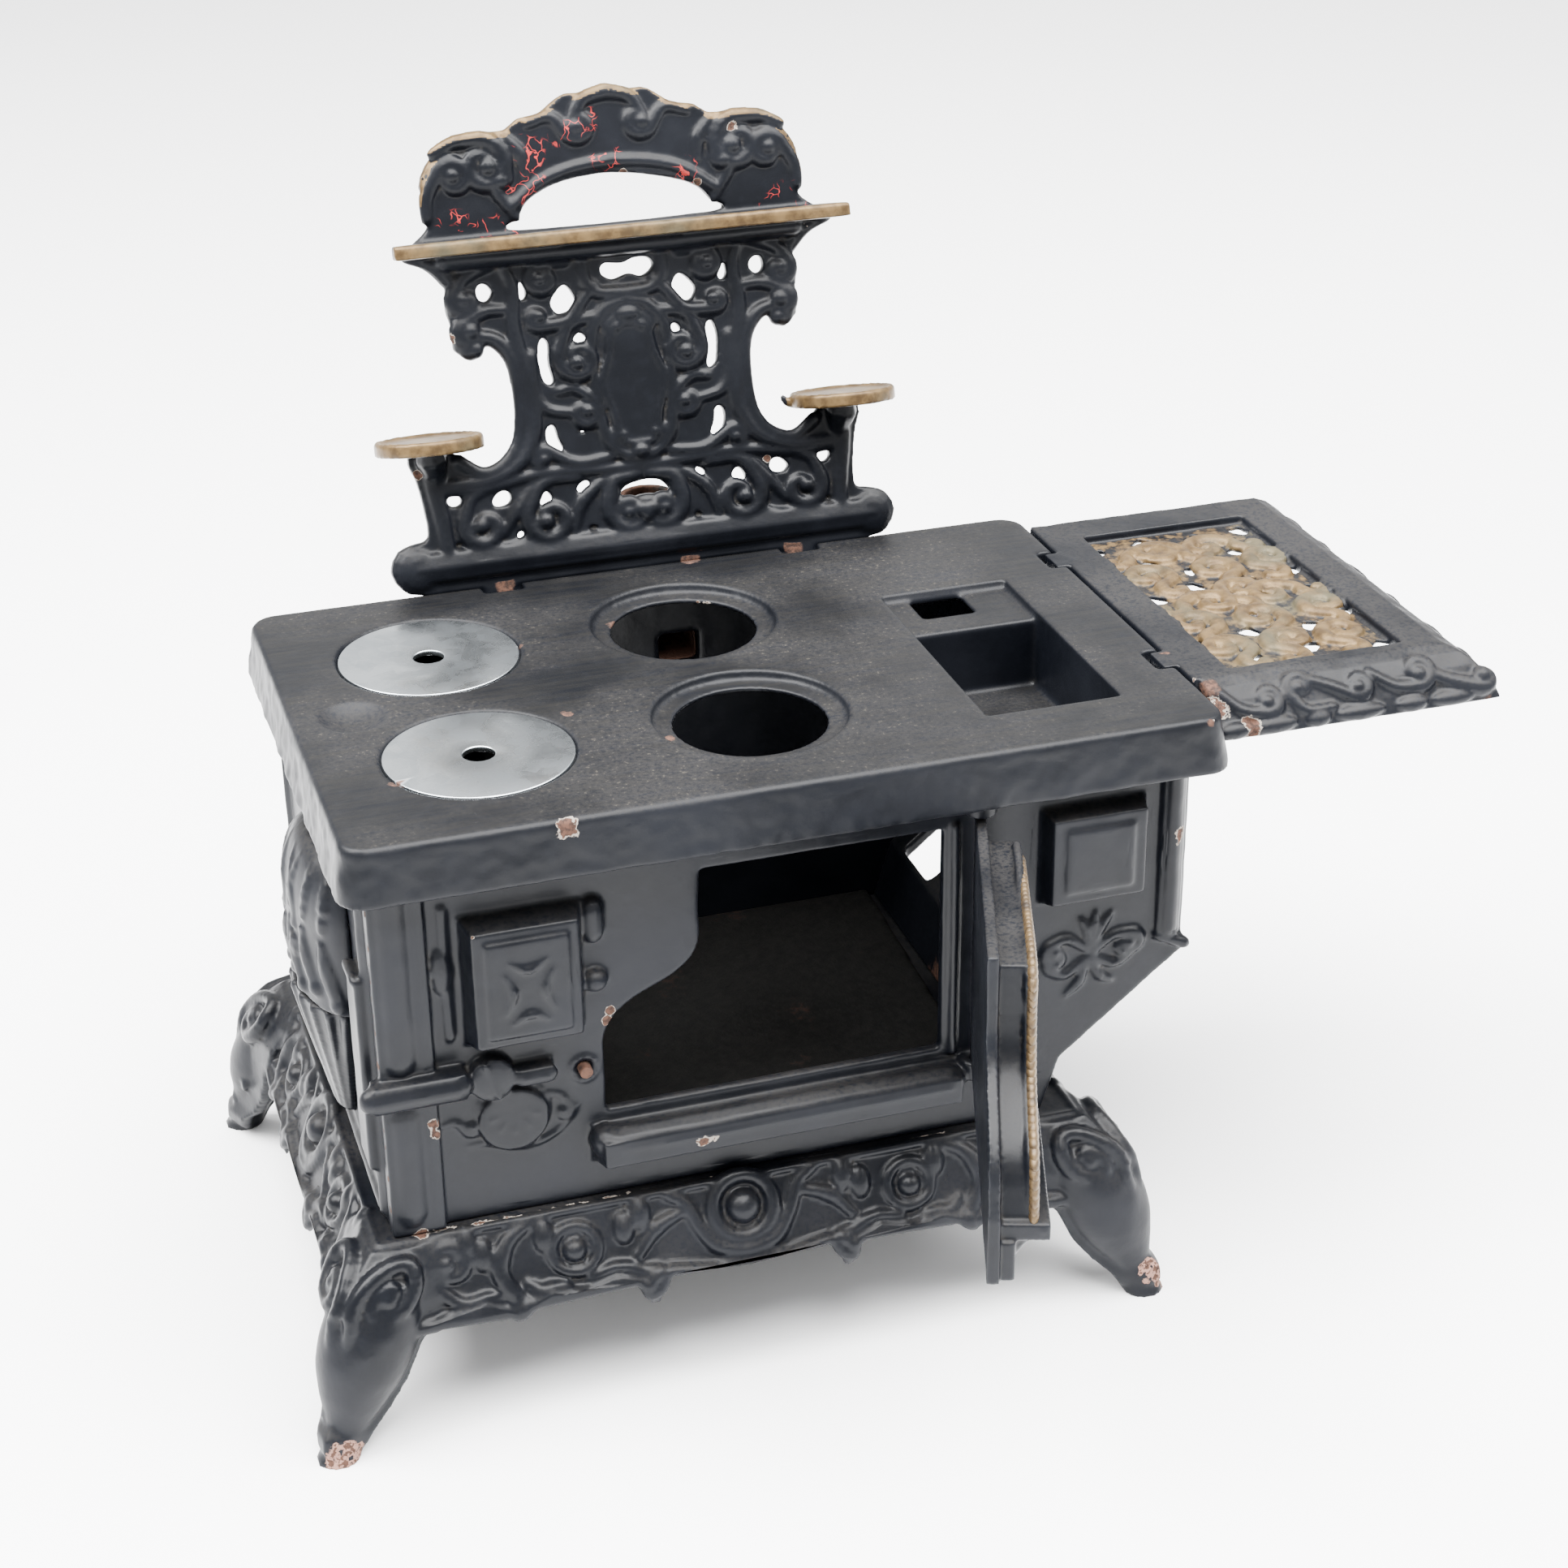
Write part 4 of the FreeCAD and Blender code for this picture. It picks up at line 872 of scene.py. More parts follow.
class RANGE_OT_base(bpy.types.Operator):
    """The base with its scrolled apron and four cabriole legs"""
    bl_idname = "toyrange.base"
    bl_label = "Base"

    def execute(self, context):
        heap = Heap().node("base_casting")
        for plane, half in APRON:
            base_relief(heap, plane, half)
        for sx in (-1, 1):
            for sy in (-1, 1):
                leg(heap, sx, sy)
        cast(heap, "base_casting", rounds=3, lumps=0.2, shape=scallop)
        return {"FINISHED"}


# ------------------------------------------------------------------ high back

BACK_OUTLINE = [
    (0, 0), (41, 0), (41, -3.2), (51.5, -3.2), (51.5, 0), (70, 0), (75.5, 2), (78.4, 7.6), (75.5, 13.4),
    (70, 15.2),
    (66.2, 16.5), (66.5, 25), (68, 34), (69.5, 41), (57, 41), (54, 37.3), (48, 34.8), (42.5, 36.5),
    (38, 41.5),
    (36, 49), (35.8, 58), (37, 65), (40.5, 69.6), (45, 70.2), (48.5, 67.8), (52.5, 70), (52, 75), (53.2, 80),
    (53.5, 84), (52.8, 88), (56, 92), (62, 96.5), (63, 99), (60, 101.8), (56.2, 105), (55.2, 110), (57, 117),
    (54.5, 123), (49, 128), (43, 130.8), (37, 131), (30.5, 131), (26.5, 133.8), (20, 134.8), (16, 137.5),
    (11.5, 139.8), (6, 139.6), (0, 141.6)]
BACK_HOLES = [  # half of the pierced openings; the other half mirrors them
    [(14, 79.3), (17, 85.5), (21.5, 81.5), (21.2, 78.5), (19, 77.2)],
    [(29.2, 82.6), (28.9, 85.5), (29.7, 87.7), (31.4, 87.6), (31.8, 84.5), (30.9, 82.4)],
    [(38.8, 85.5), (40.5, 88), (43, 87.6), (43.2, 84), (40.6, 83)],
    [(23.2, 57.4), (24.2, 63), (23.8, 69), (25.8, 70.8), (27.2, 66), (26.6, 59.5), (25.4, 57.2)],
    [(11.4, 68.2), (14.2, 71.2), (16.4, 68.4), (13.4, 66.2)],
    [(12.8, 43.4), (14.4, 45.6), (17.6, 44.6), (17.4, 42), (14.4, 41.6)],
    [(21.4, 35.2), (23.6, 40.5), (24.6, 45), (26.9, 44.4), (27.2, 40.5), (24.8, 35), (22.8, 34)],
    [(54.6, 25.6), (55.8, 29), (58.4, 28.8), (59, 26), (57, 24.6)],
    [(39.8, 24.6), (40.4, 27.2), (43.2, 27.4), (45.6, 25), (44.6, 23.2), (41.6, 23.2)],
    [(45.8, 16.6), (47, 18.8), (50, 18.8), (51, 16.6), (49, 15.2)],
    [(54.2, 11.6), (55.4, 14), (57.8, 13.8), (58.6, 11.2), (56.4, 10.4)],
    [(35, 11.8), (37.4, 15.6), (40.6, 12.2), (38, 11)],
    [(27, 18.6), (27.4, 23.6), (29.4, 26.2), (31.8, 23.8), (31.6, 18.6), (29.6, 16.8)],
    [(14.8, 26), (17, 27.8), (19.8, 25.6), (18, 21.8), (16.2, 22.6)],
    [(14, 11.6), (15.8, 14.6), (18.6, 11.6), (16.2, 10.6)],
]
BACK_MIDDLE_HOLES = [
    [(-6.4, 87.6), (-5.4, 90.4), (0, 90), (4, 91.2), (8.6, 90.8), (9.4, 88), (6, 85.8), (2, 86.8),
     (-3, 85.6)],
    [(-8, 20.6), (-6, 24.4), (0, 25.8), (5, 25.4), (8.2, 22), (7.4, 19), (4.6, 21), (0, 21.6),
     (-4, 20.6), (-6.6, 18.2)],
]
HANDLE_HOLE = [(-29.4, 102.4), (29.2, 102.4), (29, 106), (24.5, 110.6), (15, 113.8), (0, 116.2), (-15, 115),
               (-25, 111), (-29, 106)]
BACK_SCROLLS = [  # strands of its right half, as rows for strands()
    ([(36, 93), (33.5, 86), (34.5, 76), (33.2, 66), (31.5, 54), (31.8, 44), (37, 35.5), (47, 31.2), (60, 31)],
     (1.5, 2.2, 2.4, 1.8)),
    ([(55, 38), (48, 33.4), (41, 35.6), (36.6, 41), (34.8, 49), (34.6, 58), (36, 66), (40, 71.4), (46, 73.4)],
     (1.8, 1.8, 2.2), 3.6, 0.7, -1),
    ([(64, 40), (63, 30), (61.6, 20), (61, 11)], (2.6, 2.0)),
    ([(60, 29.8), (49, 29.0), (38, 30.6), (28, 31.5), (14, 30.5), (0, 30.4)], (1.6, 1.5)),
    ([(43, 30), (52, 27), (55.4, 20.5)], (1.2, 2.2), 6.6, 1.0, -1),
    ([(33, 13.5), (42, 10.6), (50, 11)], (1.5, 2.0), 6.6, 0.35, 1),
    ([(20, 29), (30, 28.8), (35.4, 22)], (1.4, 2.3), 7.4, 1.15, -1),
    ([(33, 29), (38.5, 22), (44, 15)], (1.2, 1.8, 1.2)),
    ([(10, 28.5), (19, 22), (22.5, 13)], (1.2, 1.9, 1.2)),
    ([(2, 28), (9, 26.5), (11.5, 20)], (1.8, 2.4), 8.6, 0.55, -1),
    ([(9.6, 13), (4.8, 14.5)], (1.4, 2.0), 3.4, 1.0, -1),
    ([(9, 84.5), (13, 80.6), (18, 75), (27, 74)], (1.5, 2.0), 3.0, 0.7, 1),
    ([(0, 81.4), (8, 82.2), (11.6, 86), (12, 92)], (2.0, 1.6)),
    ([(17, 92), (24.5, 92.2)], (1.4, 2.2), 4.4, 1.25, -1),
    ([(0, 79.4), (6, 77.6), (10.6, 72), (12.4, 64)], (2.2, 1.8, 1.4)),
    ([(10, 75.5), (18, 73.2), (21.6, 66)], (1.4, 2.2), 6.2, 1.2, -1),
    ([(23, 54.5), (18, 55), (13, 51.5)], (1.3, 2.0), 4.6, 1.1, 1),
    ([(11.6, 58), (11.4, 48), (9.6, 39), (5.4, 34.4), (0, 33)], (1.6, 1.8, 2.0)),
    ([(2, 76), (5.6, 73.6)], (1.6, 1.8), 2.6, 0.8, -1),
    ([(1.5, 38), (5.6, 37.4)], (1.4, 1.9), 2.6, 0.8, 1),
    ([(8, 34), (17, 33), (22, 34), (28.5, 38)], (1.4, 1.8), 3.2, 0.9, -1),
    ([(20, 48), (27, 50), (30, 56), (30.4, 66)], (1.4, 1.6)),
    ([(39, 93.5), (47, 90.6), (51, 86)], (1.6, 2.2), 4.0, 1.0, -1),
    ([(36, 80), (43, 80), (49, 77.4)], (1.4, 2.6), 3.6, 0.9, -1),
    ([(52, 126), (46, 128.6), (38.5, 129)], (1.6, 2.6), 7.6, 1.3, 1),
    ([(56, 108), (55.4, 114), (51.5, 121)], (1.6, 2.4), 5.0, 1.1, 1),
    ([(30, 106), (34, 112), (36, 116)], (1.2, 2.4), 3.2, 0.9, 1),
    ([(24, 132), (17, 133.4), (12.5, 128)], (1.4, 2.2), 4.2, 1.0, -1),
    ([(0, 139.4), (7, 137.4), (10.6, 131.4)], (2.2, 1.6), 3.4, 0.9, -1),
    ([(0, 119.6), (12, 118.4), (22, 115.2), (31, 109)], (1.6, 1.6)),
    ([(31, 129), (27, 124), (26, 118)], (1.4, 2.0, 1.2)),
]
CROWN_EDGE = np.array([(0, 141.6), (6, 139.6), (11.5, 139.8), (16, 137.5), (20, 134.8), (26.5, 133.8),
                       (30.5, 131), (43, 130.8), (49, 128), (54.5, 123), (57, 117), (57.5, 104)]).T


def both_sides(path):
    """A closed outline from its right half."""
    return list(path) + [(-x, y) for x, y in reversed(path[1:-1])]


def back_gilt(points, normals):
    """Old gold on the shelf's edge, the trivets and the crown's outer edge."""
    u, s, w = BACK.into(points).T
    rise, outward = normals @ BACK.v, np.abs(normals @ BACK.u)
    shelf = (w > 8.8) & (s > 95) & (s < 103)
    away = np.hypot(np.abs(u) - 63.5, w - 3.0)
    trivet = (s > 41.5) & (s < 47) & ((away > 14.0) | (rise > 0.6)) & (away < 17.5) & (w > -13.5)
    rim = (s > np.interp(np.abs(u), *CROWN_EDGE) - 2.2) & (rise > 0.2) & (s > 104)
    side = (s > 106) & (outward > 0.6) & (rise > 0.0) & (np.abs(u) > 52.5)
    return np.where(shelf | trivet, 0.95, np.where(rim | side, 0.66, 0.0))


class RANGE_OT_high_back(bpy.types.Operator):
    """The pierced high back with its shelf and two trivets"""
    bl_idname = "toyrange.high_back"
    bl_label = "High back"

    def execute(self, context):
        heap = Heap()
        outline = both_sides(BACK_OUTLINE)
        holes = [soft_loop(hole) for hole in BACK_MIDDLE_HOLES + [HANDLE_HOLE]]
        for hole in BACK_HOLES:
            holes.append(soft_loop(hole))
            holes.append(soft_loop([(-x - 0.6, y) for x, y in hole]))
        heap.slab(BACK, [soft_loop(outline, 2)] + holes, -3.6, 0.0)
        strands(heap, BACK, BACK_SCROLLS, mirrored=True, lift=-0.35)
        shield = [(-6.6, 40), (-8, 55), (-6.6, 68), (0, 72.6), (6.6, 68), (8, 55), (6.6, 40), (0, 36.8)]
        heap.slab(BACK, [soft_loop(shield)], -1.0, 1.0)
        lobes = [((8.6 + 0.8 * math.cos(6 * a)) * math.cos(a),
                  55 + (18.4 + 0.8 * math.cos(6 * a)) * math.sin(a), 0.2)
                 for a in np.linspace(0, 2 * math.pi, 61)]
        heap.tube(BACK, lobes, 1.5)
        for spot, radii in (((0, 34.8), (3.2, 2.6, 2.8)), ((0, 75.4), (4.2, 2.6, 2.6)),
                            ((0, 16.5), (3.4, 3.4, 2.6))):
            heap.ball(BACK, spot, radii)
        heap.tube(BACK, smooth_path([(-71, 7.6, -1.4), (0, 7.6, -1.4), (71, 7.6, -1.4)], 20), 5.6, 0.72)
        heap.slab(BACK, [box(-69, -3.8, 69, 4)], -3.6, -0.6)
        for sign in (-1, 1):
            heap.ball(BACK, (70.6 * sign, 7.6, -1.6), (7.6, 7.6, 4.0))
        shelf = Plane(BACK.origin + BACK.v * 101.4, BACK.u, -BACK.w)
        rim = [(-68.4, -11.4), (68.4, -11.4), (68.4, -6), (58, 1.5), (0, 2.4), (-58, 1.5), (-68.4, -6)]
        heap.slab(shelf, [rim], -4.0, 0.0)
        heap.tube(BACK, smooth_path([(-66.5, 99.3, 9.6), (0, 99.3, 9.6), (66.5, 99.3, 9.6)], 20), 2.1)
        heap.tube(BACK, smooth_path([(-53, 95.8, 1.5), (0, 95.4, 1.5), (53, 95.8, 1.5)], 20), 3.0)
        for sign in (-1, 1):
            bracket = [(64 * sign, 97.2, 1.8), (57 * sign, 95, 0.6), (52 * sign, 90, -1.2)]
            heap.tube(BACK, smooth_path(bracket), (1.2, 2.2, 2.4))
        top = Plane(BACK.origin + BACK.v * 45.4, BACK.u, -BACK.w)
        for sign in (-1, 1):
            disc = [(63.5 * sign + 16 * math.cos(a), -3 + 16 * math.sin(a))
                    for a in np.linspace(0, 2 * math.pi, 49)[:-1]]
            heap.slab(top, [disc], -3.4, 0.0)
            heap.ring(top, (63.5 * sign, -3), 15.0, 0.9)
            post = [(62 * sign, 24, -1.8), (62.4 * sign, 34, -1.0), (63.2 * sign, 40.0, 2.0)]
            heap.tube(BACK, smooth_path(post), (2.6, 3.6, 5.0))
        heap.tube(BACK, smooth_path([(50, 43.4, 1.0), (46.6, 43.8, 1.0), (45.4, 45.4, 1.0)]), (1.6, 1.0))
        cast(heap, "high_back", voxel=0.62, rounds=4, most=195000, gilt=back_gilt)
        return {"FINISHED"}


# ------------------------------------------------------------------ cooking plate and lids

def plate_lumps(points):
    """The rim is softly hammered; the top stays flat."""
    down = np.clip((PLATE_TOP - 1.0 - points[:, 2]) / 3.0, 0, 1)
    outside = (np.abs(points[:, 0]) > 117) | (np.abs(points[:, 1]) > 74)
    rough = cloud(points, 0.13, 8) + 0.5 * cloud(points, 0.3, 9)
    push = np.where(outside, down * rough * 0.55, 0.0)
    outward = points * np.array([1.0, 1.0, 0.0])
    outward /= np.maximum(np.linalg.norm(outward, axis=1), 1)[:, None]
    return points + outward * push[:, None]


class RANGE_OT_plate(bpy.types.Operator):
    """The cooking plate with its hammered rim, pot holes and water tank"""
    bl_idname = "toyrange.plate"
    bl_label = "Cooking plate"

    def execute(self, context):
        heap = Heap().node("top_plate")
        for y in (-32.5, 32.5):
            heap.ring(TOP, (-1.0, y), 27.6, 0.9, 0.55)
        heap.ball(TOP, (76.5, -55.5, -22.6), (6.0, 5.0, 2.2))
        cast(heap, "top_plate", "plate", voxel=0.8, rounds=3, most=195000, lumps=0.03, shape=plate_lumps)
        return {"FINISHED"}


LID_HOLE = 4.35      # radius of the lifter's hole
LID_SOFT = 0.35      # rounding of a lid's edges


def lathe(profile, sides=96):
    """A closed ring turned from a closed profile of (radius, height)."""
    points = [(r * math.cos(2 * math.pi * k / sides), r * math.sin(2 * math.pi * k / sides), z)
              for k in range(sides) for r, z in profile]
    size = len(profile)
    faces = []
    for k in range(sides):
        here, there = k * size, (k + 1) % sides * size
        for row in range(size):
            after = (row + 1) % size
            faces.append([here + row, there + row, there + after, here + after])
    return points, faces


def lid_profile(rad, half):
    """Half of a lid's section with its four soft corners, in order round its own middle."""
    profile = []
    for r, z, sx, sz in ((LID_HOLE, half, 1, -1), (rad, half, -1, -1), (rad, -half, -1, 1),
                         (LID_HOLE, -half, 1, 1)):
        profile += [(r + sx * LID_SOFT * (1 - math.sin(a)), z + sz * LID_SOFT * (1 - math.cos(a)))
                    for a in np.linspace(0, math.pi / 2, 5)]
    middle, flat = (LID_HOLE + rad) / 2, half / (rad - LID_HOLE) * 2
    return sorted(profile, key=lambda p: math.atan2(p[1], (p[0] - middle) * flat))


class RANGE_OT_lids(bpy.types.Operator):
    """Two loose plated lids"""
    bl_idname = "toyrange.lids"
    bl_label = "Lids"

    def execute(self, context):
        for name in ("lid_front", "lid_rear"):
            low, high = node_box(name)
            middle = (low + high) / 2
            points, faces = lathe(lid_profile((high[0] - low[0]) / 2, (high[2] - low[2]) / 2))
            spots = [Vector(p) + middle for p in points]
            mesh = bpy.data.meshes.new(name + "_look")
            mesh.from_pydata([tuple(spot * MM + MIDDLE) for spot in spots], [], faces)
            mesh.polygons.foreach_set("use_smooth", [True] * len(mesh.polygons))
            mark(mesh, "rust", near(np.array(spots), RUST_SPOTS))
            link(name + "_look", mesh, name, name, MATERIALS["zinc"])
        return {"FINISHED"}


# ------------------------------------------------------------------ body plates

DAMPER_SCROLLS = [  # the fine lines round the air slide
    ([(-99, 87), (-95, 87.6), (-92, 84)], (0.6, 1.2), 2.2, 0.8, 1),
    ([(-92, 79.5), (-86, 79.4), (-80, 77.2), (-72, 77.6), (-66, 81), (-62, 86.5)], (0.5, 1.1, 0.6)),
    ([(-70, 92), (-66, 90), (-64, 86)], (0.6, 1.3), 2.0, 0.8, -1),
]
FLOWER = [  # the spray under the right false door
    ([(84, 107), (78, 111), (73.4, 110)], (1.0, 1.6), 3.4, 1.0, 1),
    ([(84, 104), (78, 100), (73.6, 101.6)], (1.0, 1.6), 3.2, 1.0, -1),
    ([(84, 104), (82, 97), (78, 93)], (1.0, 1.5, 0.6)),
    ([(86, 106), (92, 110), (97.4, 110)], (1.0, 1.6), 3.4, 0.8, -1),
    ([(86, 104), (92, 101), (96, 103)], (1.0, 1.5), 2.6, 0.9, 1),
    ([(85, 108), (84, 113), (82, 116.5)], (1.0, 1.4, 0.6)),
    ([(86, 108), (88, 113), (91, 117)], (1.0, 1.4, 0.6)),
    ([(85.5, 108), (86, 114), (86.4, 118)], (1.0, 1.4, 0.6)),
    ([(85, 104), (88, 98), (92, 95.5)], (1.0, 1.4, 0.6)),
]


class RANGE_OT_front(bpy.types.Operator):
    """The front plate with its false doors, damper and relief"""
    bl_idname = "toyrange.front"
    bl_label = "Front plate"

    def execute(self, context):
        heap = Heap().node("front_plate")
        for low, high in ((60, 96), (107, 168)):
            heap.tube(FRONT, [(-108.6, low + 3, 1.6), (-108.6, high - 3, 1.6)], 4.4, 0.6, 12)
            heap.tube(FRONT, [(-102.2, low, 1.6), (-102.2, high, 1.6)], 1.2)
        heap.tube(FRONT, [(-116.5, 101.5, 4.2), (-94.5, 101.5, 4.2)], (4.2, 4.2), 0.9)
        heap.slab(FRONT, [box(-86, 116, -64, 144)], 0.0, 9.2)
        for sign in (-1, 1):
            heap.tube(FRONT, smooth_path([(-75 + 6.5 * sign, 123, 9.2), (-75 + 4.2 * sign, 129, 9.2),
                                          (-75 + 6.5 * sign, 135, 9.2)]), (0.5, 1.3, 0.5))
            heap.tube(FRONT, smooth_path([(-80, 129 + 9 * sign, 9.2), (-75, 129 + 6.6 * sign, 9.2),
                                          (-70, 129 + 9 * sign, 9.2)]), (0.5, 1.3, 0.5))
        heap.tube(FRONT, [(-56, 139, 1.2), (-56, 146, 1.2)], (3.2, 3.2))
        heap.ball(FRONT, (-56, 124.5, 1.2), (3.6, 3.4, 3.2))
        heap.tube(FRONT, [(-94.9, 114, -0.3), (-94.9, 152, -0.3)], 1.5)
        heap.ball(FRONT, (-96.0, 134, -0.2), (2.9, 7.5, 2.4))
        heap.ball(FRONT, (-85.2, 101, 3.4), (6.2, 6.2, 1.6))
        heap.tube(FRONT, [(-87, 106.4, 4.6), (-83.6, 95.8, 4.6)], 0.8)
        heap.tube(FRONT, [(-77, 100, 3.2), (-70, 100, 3.2)], (2.6, 2.6), 0.8)
        heap.ring(FRONT, (-79.6, 88), 9.6, 0.9)
        for k in range(5):
            angle = math.radians(200 + 35 * k)
            tip = (-79.6 + 7 * math.cos(angle), 90 + 7 * math.sin(angle), 2.0)
            heap.tube(FRONT, [(-79.6, 90, 2.0), tip], (0.6, 1.3), 0.7)
        strands(heap, FRONT, DAMPER_SCROLLS)
        heap.ring(FRONT, (-59.7, 97.4), 3.6, 0.9)
        sill = [(-54.5, 76.4, 3.0), (-50, 75.2, 4.6), (-6, 75.2, 4.8), (42, 75.2, 4.8)]
        heap.tube(FRONT, smooth_path(sill, 8), (4.0, 4.8, 4.8, 4.8))
        heap.ball(FRONT, (-55.4, 75.4, 3.2), (4.6, 4.8, 5.0))
        heap.slab(FRONT, [box(74.5, 129, 94, 148)], 0.0, 7.4)
        strands(heap, FRONT, FLOWER, lift=0.3)
        heap.tube(FRONT, [(108, 110, 1.0), (108, 170, 1.0)], 2.6)
        heap.tube(FRONT, smooth_path([(105, 107.5, 1.0), (110, 105.5, 1.2), (113.2, 104, 1.0)]), (1.4, 2.0))
        heap.tube(FRONT, smooth_path([(44.5, 82, 0.8), (44.8, 120, 0.8), (44.5, 152, 0.8)], 8), 1.2)
        cast(heap, "front_plate", voxel=0.62, rounds=7, lumps=0.16)
        return {"FINISHED"}


HOOD_GROWTH = ([0, 16, 31, 40, 45], [0.96, 1.0, 0.97, 0.8, 0.45])  # height, and the hood's size there
SCOOP_RIBS = [  # height, reach out and reach along
    (105.4, 12.6, 22.6), (96, 10.6, 18), (86, 8.4, 13.2), (76, 6.1, 9.6), (67.5, 4.4, 6.8)]


class RANGE_OT_fire_end(bpy.types.Operator):
    """The ribbed hood and the fluted scoop on the fire end"""
    bl_idname = "toyrange.fire_end"
    bl_label = "Fire end"

    def execute(self, context):
        face, middle = -114.3, -14.0    # where the end plate stands, and the hood's middle along it
        heap = Heap().node("fire_hood")
        for number, angle in enumerate(np.linspace(-1.3, 1.3, 7)):
            path = []
            low = 3.5 + 3.0 * (number % 2)
            for up in np.linspace(44, low, 14):
                grow = np.interp(up, *HOOD_GROWTH)
                swirl = angle + 0.3 * math.sin((44 - up) / 44 * math.pi) * (1 if angle < 0 else -1)
                path.append((face - (12.5 * grow - 1.4) * math.cos(swirl),
                             middle + (27 * grow - 1.4) * math.sin(swirl), 107 + up))
            heap.tube(None, path, (1.6, 2.8, 2.4, 3.4, 2.6))
            heap.ball(None, path[-1], 3.2)
        cast(heap, "fire_hood", voxel=0.6, rounds=4, most=90000)
        heap = Heap().node("hearth_scoop")
        for angle in np.linspace(-1.35, 1.35, 9):
            path = [(face - across * math.cos(angle), middle + deep * math.sin(angle), z)
                    for z, across, deep in SCOOP_RIBS]
            heap.tube(None, smooth_path(path), (1.5, 1.2, 0.8))
        cast(heap, "hearth_scoop", voxel=0.55, most=60000)
        heap = Heap().node("left_end_plate")
        left = Plane((face, 0, 0), (0, -1, 0), (0, 0, 1))
        for y in (-62.5, 61):
            heap.tube(left, [(-y, 60, 0.4), (-y, 168, 0.4)], 1.4)
        heap.tube(left, [(52, 131.6, 3.4), (62, 131.6, 3.4)], 1.4)
        heap.tube(left, [(-60, 60, 0.4), (60, 60, 0.4)], 1.4)
        cast(heap, "left_end_plate", name="left_end_look", voxel=0.8, most=90000)
        return {"FINISHED"}


class RANGE_OT_other_castings(bpy.types.Operator):
    """The rear and reservoir ends, the inner plates, the flue and the bolts"""
    bl_idname = "toyrange.other_castings"
    bl_label = "Other castings"

    def execute(self, context):
        for node, finish, voxel, most in (
                ("back_plate", "enamel", 0.9, 90000), ("right_end_plate", "enamel", 0.9, 90000),
                ("firebox_wall", "inside", 1.0, 40000), ("oven_floor", "inside", 1.0, 60000),
                ("fire_grate", "rusty", 0.8, 60000), ("flue_collar", "rusty", 0.6, 50000),
                ("tie_bolts", "inside", 0.5, 30000), ("front_stud", "rusty", 0.25, 12000)):
            cast(Heap().node(node), node, finish, voxel=voxel, most=most)
        return {"FINISHED"}


# ------------------------------------------------------------------ side shelf

SHELF_SCROLLS = [  # start, end, curl radius and hand
    ((142, -40), (146, -31), 6.0, 1), ((158, -40), (153, -32), 6.0, -1), ((176, -40), (170, -33), 6.0, -1),
    ((139, -22), (145, -14), 6.2, 1), ((160, -24), (165, -15), 6.2, 1), ((180, -20), (174, -13), 6.0, -1),
    ((141, -3), (147, 4), 6.2, -1), ((161, -4), (156, 5), 6.2, -1), ((179, -2), (173, 5), 6.2, 1),
    ((142, 15), (147, 23), 6.2, 1), ((163, 14), (168, 22), 6.0, 1), ((180, 17), (175, 25), 6.0, -1),
    ((140, 35), (146, 42), 6.0, -1), ((158, 34), (154, 43), 6.0, 1), ((176, 36), (170, 43), 6.0, 1),
]
SHELF_HOLES = [(133.8, 46), (151, 49), (167.5, 47), (183, 49), (146, 33), (163, 33), (176, 34), (184, 31),
               (135, 24),
               (156, 24), (184, 15), (136, 7), (151, 13), (169, 12), (166, -1), (135, -9), (150, -5),
               (183, 0),
               (159, -14), (171, -24), (184, -18), (134.5, -27), (152, -22), (146, -40), (164, -37),
               (184, -43)]


SKIRT_SCROLLS = [  # on the slope of the front edge
    ([(125, 2), (131, -4), (138, -6)], (1.4, 2.0), 4.0, 1.0, 1),
    ([(158, -7), (150, -7), (146, -2)], (1.2, 1.9), 3.8, 1.0, -1),
    ([(151, 2), (158, -1), (165, -5)], (1.4, 2.0), 3.6, 1.0, 1),
    ([(171, 1), (178, -4), (185, -5)], (1.4, 2.2), 4.4, 1.0, 1),
    ([(188, -1), (195, -5), (204, -8)], (1.6, 2.4), 2.8, 0.6, 1),
]
SKIRT = [  # the shelf's rolled edge: distance out and rise
    (-2.0, -3.9), (0.0, 0.0), (4.0, -1.6), (7.5, -4.4), (11, -9.0), (13.2, -13.6), (11.2, -13.9), (5.0, -7.4)]


def shelf_gilt(points, normals):
    """Worn gold on the strands of the openwork."""
    x, y, z = points.T
    inside = (x > 133.9) & (x < 185.6) & (y > -47.1) & (y < 53.1)
    return np.where(inside, np.interp(z, [PLATE_TOP - 3.1, PLATE_TOP - 1.8], [0.46, 0.7]), 0.0)


